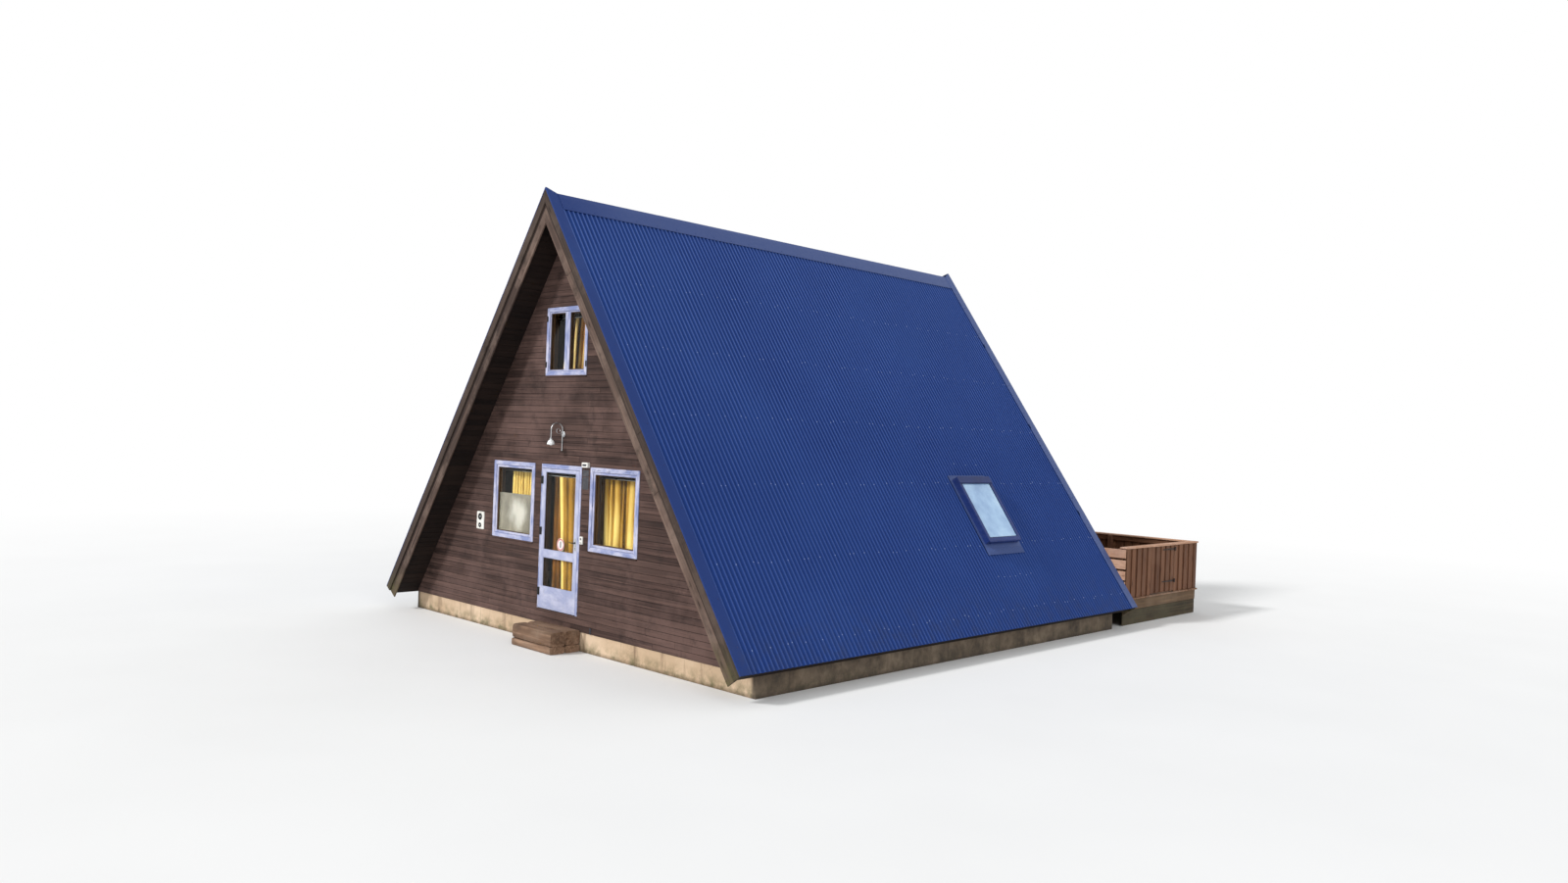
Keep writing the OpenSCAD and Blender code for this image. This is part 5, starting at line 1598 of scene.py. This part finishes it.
def wallLamp():
    arch, reach, wall = lamp["arch"], lamp["reach"], gableY(wallFace)
    y0 = wall - lamp["away"]
    foot, radius = arch - lamp["shadeDown"], reach / 2
    metal = Shape()
    metal.lathe(lamp["rose"], (0, wall, arch - 0.065), (0, -1, 0), 32)
    path = [(0, y0, arch - lamp["rod"] + t) for t in (0.0, 0.1, 0.2, 0.28)]
    for turn in np.linspace(0, math.pi, 20):
        path.append((0, y0 - radius + radius * math.cos(turn), arch + radius * math.sin(turn)))
    path += [(0, y0 - reach, z) for z in (arch - 0.04, foot + 0.078)]
    metal.tube(path, lamp["pipe"], 16)
    # scroll below the arch
    curl = []
    for t in np.linspace(0, 1, 26):
        turn = math.pi * (0.5 + 2.1 * t)
        size = lamp["scroll"] * (1 - 0.72 * t)
        y = y0 - lamp["scroll"] + size * math.sin(turn) * 0.95
        curl.append((0, y, arch - 0.005 + size * math.cos(turn) - lamp["scroll"] * t * 0.2))
    metal.tube(curl, 0.0042, 10)
    metal.lathe(lamp["knob"], (0, y0, arch - lamp["rod"] - 0.004), (0, 0, 1), 20)
    metal.lathe(lamp["holder"], (0, y0 - reach, foot + 0.066), (0, 0, 1), 28)
    metal.build("lampMetal", "chrome", slot="lamp_metal", hides="wall_lamp")
    finishes["opal"] = opalFinish()
    shade = Shape()
    inner = [(r - lamp["glass"], max(0.0, z - 0.002)) for r, z in reversed(lamp["shade"])]
    shade.lathe([*lamp["shade"], *inner], (0, y0 - reach, foot), (0, 0, 1), 40)
    shade.lathe(lamp["bulb"], (0, y0 - reach, foot), (0, 0, 1), 32)
    shade.build("lampShade", "opal", slot="plate_white", hides="wall_lamp", smooth=60)


def opalFinish():
    b = Brush("opalGlass")
    dust = b.noise(b.place(), 45.0, 5.0, 0.7)
    colour = b.blend(b.span(dust, 0.45, 0.75, 0.0, 0.6), srgb(236, 238, 238), srgb(196, 192, 182))
    return b.finish(colour, b.span(dust, 0.3, 0.7, 0.12, 0.3), b.bump(dust, 0.05, 0.0005), Coat_Weight=0.5)


# Plates, bell and dials beside the door
plates = {
    "slot": (0.532, 0.668, 2.553, 2.624, 0.050),
    "upper": (0.505, 0.648, 2.428, 2.521, 0.005),
    "lower": (0.505, 0.648, 2.248, 2.421, 0.005),
    "bell": (0.505, 0.574, 1.484, 1.593, 0.025),
    "dials": (-2.234, -2.030, 1.476, 1.748, 0.020),
    "vent": (0.796, 0.832, 0.272, 0.354, 0.012),
}


def wallPlates():
    y0 = gableY(wallFace)
    white, dark, grey = Pile(111), Pile(112), Pile(113)

    def fix(pile, name, chamfer, along):
        x0, x1, z0, z1, out = plates[name]
        pile.box((x0, y0 - out, z0), (x1, y0, z1), chamfer, along)
        return x0, x1, z0, z1, y0 - out

    x0, x1, z0, z1, y = fix(white, "slot", 0.005, 0)
    dark.box((x0 + 0.022, y - 0.0006, z0 + 0.020), (x1 - 0.022, y + 0.0004, z0 + 0.048), 0.0003, 0)
    for name in ("upper", "lower"):
        x0, x1, z0, z1, y = fix(dark, name, 0.0015, 0)
        grey.box((x0 + 0.006, y - 0.0006, z0 + 0.006), (x1 - 0.006, y + 0.0005, z1 - 0.006), 0.0003, 0)
    x0, x1, z0, z1, y = fix(white, "bell", 0.006, 2)
    dark.box((x0 + 0.020, y - 0.0012, z0 + 0.060), (x1 - 0.020, y + 0.0004, z0 + 0.088), 0.001, 2)
    dark.box((x0 + 0.014, y - 0.0010, z0 + 0.018), (x1 - 0.014, y + 0.0004, z0 + 0.026), 0.0003, 2)
    fix(dark, "vent", 0.002, 2)
    x0, x1, z0, z1, y = fix(white, "dials", 0.007, 2)
    white.build("wallPlatesWhite", "whiteEnamel", slot="plate_white", hides="wall_plates")
    dark.build("wallPlatesDark", "darkEnamel", slot="black_iron", hides="wall_plates")
    grey.build("wallPlateFaces", "mottledEnamel", slot="plate_white", hides="wall_plates")
    rims, faces = Shape(), Shape()
    x = (x0 + x1) / 2
    for z, size in ((z1 - 0.078, 0.052), (z0 + 0.062, 0.036)):
        rim = [(size, 0.0), (size, 0.006), (size * 0.86, 0.008), (size * 0.84, 0.004), (size * 0.2, 0.0035)]
        rims.lathe(rim, (x, y, z), (0, -1, 0), 40)
        faces.lathe([(size * 0.30, 0.0), (size * 0.24, 0.0015)], (x, y - 0.0040, z), (0, -1, 0), 24)
    rims.build("dialRims", "iron", slot="black_iron", hides="wall_plates")
    faces.build("dialFaces", "chrome", slot="lamp_metal", hides="wall_plates")


wallLamp()
wallPlates()
print("cabin: lamp and plates fixed")

# Door step of old sleepers
step = {"x": (-0.370, 0.590), "depth": 0.495, "heights": (0.0, 0.105, 0.305), "rough": 0.004, "rows": 2}


def roughBeam(shape, rng, low, high, grain, tones):
    # a beam along x with worn edges and saw marks
    rings, sides, power = 46, 28, 7.0
    shifts = [rng.uniform(0, 40) for _ in range(3)]
    phases = [rng.uniform(0, 6.28) for _ in range(8)]
    tone = rng.random()
    middle = [(low[a] + high[a]) / 2 for a in range(3)]
    half = [(high[a] - low[a]) / 2 for a in range(3)]
    loops = []
    for r in range(-1, rings + 2):
        at = min(max(r, 0), rings) / rings
        inset = 0.010 if r in (-1, rings + 1) else 0.0
        loop = []
        for k in range(sides):
            turn = 2 * math.pi * (k + 0.5) / sides
            c, s = math.cos(turn), math.sin(turn)
            reach = (abs(c) ** power + abs(s) ** power) ** (-1 / power)
            wave = math.sin(7 * at * 3 + phases[k % 8]) * math.sin(23 * at + phases[(k * 3) % 8])
            wear = step["rough"] * (0.5 + 0.5 * wave)
            saw = 0.004 * math.sin(phases[k % 8] * 3) if 0 < at < 1 else 0
            x = low[0] + (high[0] - low[0]) * at + saw
            y = middle[1] + (half[1] - wear - inset) * c * reach
            z = middle[2] + (half[2] - wear * 0.6 - inset) * s * reach
            loop.append((x, y, z))
            grain.append((x - low[0] + shifts[0], y - low[1] + shifts[1], z - low[2] + shifts[2]))
            tones.append(tone)
        loops.append(loop)
    shape.strip(loops)


def doorStep():
    rng = random.Random(121)
    beams, grain, tones = Shape(), [], []
    y0 = gableY(wallFace) - step["depth"]
    deep = step["depth"] / step["rows"]
    for row in range(step["rows"]):
        for z0, z1 in zip(step["heights"][:-1], step["heights"][1:]):
            low = (step["x"][0] + rng.uniform(0.0, 0.02), y0 + row * deep + 0.0005, z0 + fit)
            high = (step["x"][1] - rng.uniform(0.0, 0.02), y0 + (row + 1) * deep - 0.002, z1 - 0.0006)
            roughBeam(beams, rng, low, high, grain, tones)
    obj = meshObject("doorStepSleepers", beams.points, beams.faces, "sleeper", grain, tones, 40)
    outward(obj.data)
    settle(obj, "cabin", "door_step")


doorStep()
print("cabin: step laid")

# Terrace
terrace = {
    "half": 4.030,
    "front": 9.500,
    "back": 12.300,
    "top": 0.472,
    "boardThick": 0.028,
    "boardWide": 0.140,
    "gap": 0.007,
    "nose": 0.025,
    "firstBoard": 9.006,
    "skirt": 0.030,
    "footTop": 0.262,
    "joist": 0.070,
    "joists": 8,
    "picket": 0.120,
    "pitch": 0.180,
    "picketThick": 0.020,
    "post": 0.090,
    "postTop": 0.870,
    "rail": 0.150,
    "railThick": 0.028,
    "railOver": 0.020,
    "gateStart": 0.925,
    "gateWide": 0.920,
    "gateGap": 0.008,
    "fenceRail": 0.045,
}
gateIron = {
    "foot": 0.190,
    "head": 0.090,
    "tall": 0.038,
    "thick": 0.006,
    "reach": 0.480,
    "pin": 0.014,
    "bolts": (0.04, 0.14, 0.24, 0.34, 0.43),
    "bolt": ((0.008, 0.0), (0.0075, 0.002), (0.004, 0.004)),
}
gateStart = terrace["front"] + terrace["gateStart"]
gateEnd = gateStart + terrace["gateWide"]
fenceLow = terrace["top"] + fit
fenceHigh = terrace["top"] + terrace["postTop"] - fit


def deckBoards():
    pile = Pile(131)
    rng = random.Random(132)
    wide, top = terrace["boardWide"], terrace["top"]
    pitch = wide + terrace["gap"]
    y0, end = terrace["firstBoard"], terrace["back"] + terrace["nose"] - fit
    count = int((end - y0) / pitch)
    under = halfAt(top, cabin["bargeLower"] + 0.0004)
    nails = []
    for k in range(count):
        y = y0 + k * pitch
        half = under if y + wide < cabin["roofLength"] else terrace["half"] + terrace["nose"]
        y1 = end if k == count - 1 else y + wide
        for a, b in splitRun(rng, -half, half, 2.4, 4.0):
            low = (a + 0.0012, frontY + y, top - terrace["boardThick"])
            pile.box(low, (b - 0.0012, frontY + y1, top), 0.003, 0)
        for n in range(-4, 5):
            x = n * (half - 0.06) / 4
            nails += [((x, frontY + v, top - 0.0002), (0, 0, 1)) for v in (y + 0.03, y1 - 0.03)]
    pile.build("deckPlanks", "deck", slot="deck_wood", hides="deck_boards")
    nailHeads("deckScrews", nails, (0.004, 0.0008), "zinc", "deck_wood")


def deckFrame():
    pile, foot = Pile(133), Pile(146)
    top, split = terrace["top"] - terrace["boardThick"] - fit, terrace["footTop"]
    half, skirt = terrace["half"] - 0.010, terrace["skirt"]
    y0, y1 = frontY + cabin["roofLength"] + 0.0085, frontY + terrace["back"]
    for wood, z0, z1, inset in ((foot, 0.0, split - 0.002, 0.006), (pile, split + 0.002, top, 0.0)):
        for side in (1, -1):
            a, b = sorted((side * (half - skirt), side * (half - inset)))
            wood.box((a, y0, z0), (b, y1 - inset, z1), 0.004, 1)
        for a, b in ((-half + skirt + 0.0005, 0), (0.002, half - skirt - 0.0005)):
            wood.box((a, y1 - skirt, z0), (b, y1 - inset, z1), 0.004, 0)
    foot.build("deckFootBoards", "foot", slot="deck_frame_wood", hides="deck_frame")
    # joists from the rear wall to the skirt
    start, joist = frontY + cabin["roofLength"] - wallFace, terrace["joist"] / 2
    for k in range(1, terrace["joists"] + 1):
        x = -half + k * 2 * half / (terrace["joists"] + 1)
        pile.box((x - joist, start, 0.0), (x + joist, y1 - skirt - 0.0006, top), 0.004, 1)
    pile.build("deckJoistsAndSkirt", "skirt", slot="deck_frame_wood", hides="deck_frame")


def boardRun(pile, place, length, z0, z1, rng, posts=0):
    # a length of fence: x runs along it and y in from its outer face
    thick, wide, post = terrace["picketThick"], terrace["picket"], terrace["post"]
    n = int((length - wide) / terrace["pitch"])
    used = (length - wide) / n

    def board(x, y, z, chamfer, along):
        pile.block([[[place(a, b, c) for c in z] for b in y] for a in x], chamfer, along)

    for k in range(n + 1):
        x = (k * used + 0.0008, k * used + wide - 0.0008)
        board(x, (0.0, thick), (z0, z1 - rng.uniform(0, 0.004)), 0.0035, 2)
    for k in range(n):
        x = (k * used + wide - 0.030, (k + 1) * used + 0.030)
        board(x, (thick + 0.0002, 2 * thick), (z0, z1 - rng.uniform(0, 0.005)), 0.003, 2)
    inner = 2 * thick + terrace["fenceRail"]
    for z in (z0 + 0.060, z1 - 0.095):
        board((0.0, length), (2 * thick + 0.0002, inner), (z, z + 0.095), 0.004, 0)
    for k in range(posts):
        x = k * (length - post) / (posts - 1)
        board((x, x + post), (inner + 0.0002, inner + post), (z0, z1), 0.006, 2)


def rightPlace(start):
    return lambda x, y, z: (terrace["half"] - y, frontY + start + x, z)


def terraceFences():
    rng = random.Random(134)
    start, end, half = terrace["front"], terrace["back"], terrace["half"]
    backIn = 2 * terrace["picketThick"] + terrace["fenceRail"] + terrace["post"] + fit
    length = 2 * (half - backIn)
    right, left, rear = Pile(135), Pile(136), Pile(137)
    zs = (fenceLow, fenceHigh)
    boardRun(right, rightPlace(start), terrace["gateStart"] - terrace["gateGap"], *zs, rng, 2)
    boardRun(right, rightPlace(gateEnd), end - gateEnd, *zs, rng, 2)
    right.build("fenceBoardsRight", "fence", slot="deck_wood", hides="fence_right")
    boardRun(left, lambda x, y, z: (y - half, frontY + start + x, z), end - start, *zs, rng, 3)
    left.build("fenceBoardsLeft", "fence", slot="deck_wood", hides="fence_left")
    boardRun(rear, lambda x, y, z: (length / 2 - x, frontY + end - y, z), length, *zs, rng, 6)
    rear.build("fenceBoardsBack", "fence", slot="deck_wood", hides="fence_back")


def terraceRails():
    pile = Pile(138)
    over, wide = terrace["railOver"], terrace["rail"]
    z0 = terrace["top"] + terrace["postTop"]
    z1 = z0 + terrace["railThick"]
    start, x1 = terrace["front"] - over, terrace["half"] + over
    end = terrace["back"] + max(over, terrace["nose"] - fit)
    gap = (gateStart - terrace["gateGap"], gateEnd + fit)
    for side, y0, y1 in ((1, start, gap[0]), (1, gap[1], end), (-1, start, end)):
        a, b = sorted((side * (x1 - wide), side * x1))
        pile.box((a, frontY + y0, z0), (b, frontY + y1, z1), 0.005, 1)
    inner = x1 - wide - 0.0008
    for a, b in ((-inner, -0.6), (-0.599, inner)):
        pile.box((a, frontY + end - wide, z0), (b, frontY + end, z1), 0.005, 0)
    pile.build("handrailBoards", "rail", slot="rail_wood", hides="handrails")


def terraceEnds():
    pile = Pile(139)
    rows, gap, leastWidth = 5, 0.035, 0.012
    rowHigh = (fenceHigh - fenceLow) / (rows - 0.4)
    y0 = frontY + cabin["roofLength"] + 0.0021
    seat, edge = cabin["bargeUpper"], terrace["half"] - 0.0005
    narrow = halfAt(fenceLow, seat) - edge + leastWidth
    lowest = fenceLow + max(0.0, narrow) * math.tan(slopeAngle)
    # each board lies on the fold of the rear trim
    fold = halfAt(cabin["eave"], trim["vergeDrop"]) - edge
    rest = cabin["eave"] + fold * math.tan(slopeAngle) + 0.020
    for side in (1, -1):
        for k in range(rows):
            high = fenceHigh - 0.008 - k * rowHigh
            if high < rest:
                continue
            low = max(high - rowHigh + gap, lowest)
            inner = [side * halfAt(z, seat) for z in (low, high)]
            corners = [[list(zip(xs, (y, y), (low, high))) for y in (y0, y0 + 0.024)]
                       for xs in (inner, [side * edge] * 2)]
            pile.block(corners, 0.004, 0)
    # painted light: these boards take the paler handrail wood, lighter than the fence, for the light on their
    # faces
    pile.build("fenceEndBoards", "rail", slot="deck_wood", hides="fence_ends")


def doorHingePlates():
    # the halves that stay on the door frame, above and below those of the leaf
    fixed, pins = Pile(145), Shape()
    x, y, half = door["hingeX"], gableY(door["hingeY"]), door["hingeHigh"] / 2
    face, high = gableY(door["face"]) - fit, 0.022
    for z in door["hingeZ"]:
        for foot in (z - half - fit - high, z + half + fit):
            pins.barrel((x, y, foot), 0.007, high, 0.0004, 0.001, 20)
            fixed.box((cabin["doorX"] + 0.001, y - 0.001, foot), (x, face, foot + high), 0.0008, 2)
    fixed.build("doorHingePlates", "iron", slot="black_iron", hides="hinge_brackets")
    pins.build("doorHingePins", "iron", slot="black_iron", hides="hinge_brackets")


def gateHinges():
    # straps, eyes and bolts swing with the gate, plates and pins stay on the post
    straps, eyes, bolts = Pile(143), Shape(), Shape()
    fixed, pins = Pile(144), Shape()
    thick, tall, high = gateIron["thick"], gateIron["tall"], gateIron["pin"]
    x0, end = terrace["half"] + fit, frontY + gateEnd
    pinX, pinY = x0 + thick + 0.009, end - 0.002
    y1, tip = end - terrace["gateGap"], end - gateIron["reach"]
    for z in (fenceLow + gateIron["foot"], fenceHigh - gateIron["head"]):
        taper = ((tip, (z + 0.009, z + 0.029)), (y1, (z, z + tall)))
        straps.block([[[(x, y, v) for v in zs] for y, zs in taper] for x in (x0, x0 + thick)], 0.0012, 1)
        straps.box((x0, y1 - 0.020, z + 0.002), (pinX + 0.004, pinY, z + tall - 0.002), 0.001, 1)
        eyes.barrel((pinX, pinY, z), 0.009, tall, 0.001, 0.001, 22)
        for away in gateIron["bolts"]:
            bolts.lathe(gateIron["bolt"], (x0 + thick, y1 - away, z + tall / 2), (1, 0, 0), 12)
        for foot in (z - fit - high, z + tall + fit):
            pins.barrel((pinX, pinY, foot), 0.009, high, 0.0005, 0.0008, 22)
            fixed.box((x0, pinY, foot), (pinX, end + 0.020, foot + high), 0.0008, 1)
        low = (x0, end + 0.010, z - fit - high)
        fixed.box(low, (x0 + 0.0057, end + 0.060, z + tall + fit + high), 0.001, 2)
    straps.build("gateStraps", "strap", "gate", "black_iron", "gate_fittings")
    eyes.build("gateStrapEyes", "strap", "gate", "black_iron", "gate_fittings")
    bolts.build("gateStrapBolts", "strap", "gate", "black_iron")
    fixed.build("gateHingePlates", "strap", slot="black_iron", hides="hinge_brackets")
    pins.build("gateHingePins", "strap", slot="black_iron", hides="hinge_brackets")


def gateLeaf():
    rng = random.Random(140)
    pile, cap = Pile(141), Pile(142)
    length = terrace["gateWide"] - 2 * terrace["gateGap"]
    boardRun(pile, rightPlace(gateStart), length, terrace["top"] + 0.020, fenceHigh, rng)
    pile.build("gateBoards", "fence", "gate", "deck_wood", "gate_leaf")
    z0 = terrace["top"] + terrace["postTop"]
    x1 = terrace["half"] + terrace["railOver"]
    low = (x1 - terrace["rail"], frontY + gateStart, z0 - 0.0006)
    cap.box(low, (x1, frontY + gateEnd - 0.032, z0 + terrace["railThick"]), 0.005, 1)
    cap.build("gateHandrail", "rail", "gate", "rail_wood", "gate_leaf")


deckBoards()
deckFrame()
terraceFences()
terraceRails()
terraceEnds()
gateLeaf()
gateHinges()
doorHingePlates()
print("cabin: terrace and gate built")


# Walls keep their solids: dark boards outside, pale boards inside
def wallFinish():
    look = {
        "dark": srgb(52, 38, 33), "darker": srgb(34, 26, 24), "pale": srgb(186, 148, 104),
        "deep": srgb(140, 104, 68),
    }
    b = Brush("gableWallBoards")
    where = b.place()
    depth = b.parts(where)["Y"]
    inner = wallBack - 0.0015
    front = b.span(depth, frontY + inner, frontY + inner - 0.001)
    rear = b.span(depth, backY - inner, backY - inner + 0.001)
    outside = b.sum("ADD", front, rear)
    grain = b.noise(b.scaled(where, (4, 160, 160)), 1.0, 5.0, 0.6)
    rows = b.bands(b.scaled(where, (0, 0, 1)), 3.6, 0.0, 0.0, "Z")
    dark = b.blend(b.span(grain, 0.4, 0.65), look["darker"], look["dark"])
    pale = b.blend(b.span(grain, 0.35, 0.65), look["deep"], look["pale"])
    pale = b.blend(b.span(rows, 0.04, 0.0, 0.0, 0.7), pale, look["deep"])
    colour, rough = b.blend(outside, pale, dark), b.span(grain, 0.3, 0.7, 0.6, 0.8)
    return b.finish(colour, rough, b.bump(grain, 0.3, 0.001))


finishes["wall"] = wallFinish()
for node in ("wall_bases", "front_wall_left", "front_wall_right", "front_wall_gable", "back_wall_left",
             "back_wall_right", "back_wall_gable"):
    dress(node, "wall")
dress("plinth", "render")
dress("floor", "plainBoards")
dress("loft_floor", "plainBoards")
for node in ("loft_beams", "rafters", "roof_boarding", "roof_battens"):
    dress(node, "plainBeams")
for node in ("roof_lining_left", "roof_lining_right"):
    dress(node, "soffitBack")

# Floor, light and camera
stage = {
    "floorSize": 60.0,
    "floorHeight": -0.0005,
    "floorColour": (0.80, 0.80, 0.795, 1),
    "floorShade": (0.78, 0.78, 0.775, 1),
    "fade": (11.0, 26.0),
    "ambient": 0.62,
    "keyStrength": 2.3,
    "keyAngle": 9.0,
    "keyFrom": (-0.35, -1.0, 0.72),
    "fillStrength": 0.9,
    "fillAngle": 40.0,
    "fillFrom": (1.0, -0.45, 0.65),
    "lens": 25.677,
    "eye": (13.364, -14.862, 3.083),
    "eyeAxes": (
        (0.71412614, 0.6990073, 0.03758521),
        (-0.02979145, -0.02329513, 0.99928465),
        (-0.69938282, 0.71473501, -0.00418878),
    ),
}


def studioFloor():
    b = Brush("studioFloor")
    where = b.place()
    fade = b.span(b.length(where), *stage["fade"])
    seen = b.put("LightPath").outputs["Is Camera Ray"]
    clouds = b.noise(where, 0.4, 2.0)
    b.finish(b.blend(b.span(clouds, 0.3, 0.7), stage["floorColour"], stage["floorShade"]), 0.9)
    white = b.put("Emission", None, {"Color": (1, 1, 1, 1), "Strength": 1.0})
    b.cover(b.sum("MULTIPLY", fade, seen), white)
    half, z = stage["floorSize"], stage["floorHeight"]
    corners = [(-half, -half, z), (half, -half, z), (half, half, z), (-half, half, z)]
    finishes["floor"] = b.material
    meshObject("studioFloor", corners, [[0, 1, 2, 3]], "floor")


def studioWorld():
    # white for the camera, mirrors and glass, and a dimmer sky for everything else
    world = bpy.data.worlds.new("studioWorld")
    world.use_nodes = True
    nodes, links = world.node_tree.nodes, world.node_tree.links
    nodes.clear()
    out, mixed = nodes.new("ShaderNodeOutputWorld"), nodes.new("ShaderNodeMixShader")
    path = nodes.new("ShaderNodeLightPath")
    first, second = nodes.new("ShaderNodeMath"), nodes.new("ShaderNodeMath")
    first.operation = second.operation = "MAXIMUM"
    links.new(path.outputs["Is Camera Ray"], first.inputs[0])
    links.new(path.outputs["Is Glossy Ray"], first.inputs[1])
    links.new(first.outputs[0], second.inputs[0])
    links.new(path.outputs["Is Transmission Ray"], second.inputs[1])
    links.new(second.outputs[0], mixed.inputs[0])
    for n, (colour, strength) in enumerate((((0.97, 0.985, 1.0, 1), stage["ambient"]), ((1, 1, 1, 1), 1.0))):
        light = nodes.new("ShaderNodeBackground")
        light.inputs["Color"].default_value = colour
        light.inputs["Strength"].default_value = strength
        links.new(light.outputs[0], mixed.inputs[n + 1])
    links.new(mixed.outputs[0], out.inputs[0])
    bpy.context.scene.world = world


def sunLamp(name, strength, angle, direction):
    data = bpy.data.lights.new(name, "SUN")
    data.energy = strength
    data.angle = math.radians(angle)
    lampObject = bpy.data.objects.new(name, data)
    lampObject.rotation_euler = Vector(direction).to_track_quat("Z", "Y").to_euler()
    bpy.context.scene.collection.objects.link(lampObject)


def studioCamera():
    data = bpy.data.cameras.new("camera")
    data.sensor_fit = "HORIZONTAL"
    data.sensor_width = 36.0
    data.lens = stage["lens"]
    data.clip_end = 200.0
    eye = bpy.data.objects.new("camera", data)
    right, up, ahead = [Vector(axis) for axis in stage["eyeAxes"]]
    eye.matrix_world = Matrix.Translation(stage["eye"]) @ Matrix((right, up, -ahead)).transposed().to_4x4()
    bpy.context.scene.collection.objects.link(eye)
    bpy.context.scene.camera = eye


studioFloor()
studioWorld()
sunLamp("keyLight", stage["keyStrength"], stage["keyAngle"], stage["keyFrom"])
sunLamp("fillLight", stage["fillStrength"], stage["fillAngle"], stage["fillFrom"])
studioCamera()
bpy.context.scene.view_settings.view_transform = "Standard"
print("cabin: stage and camera set")
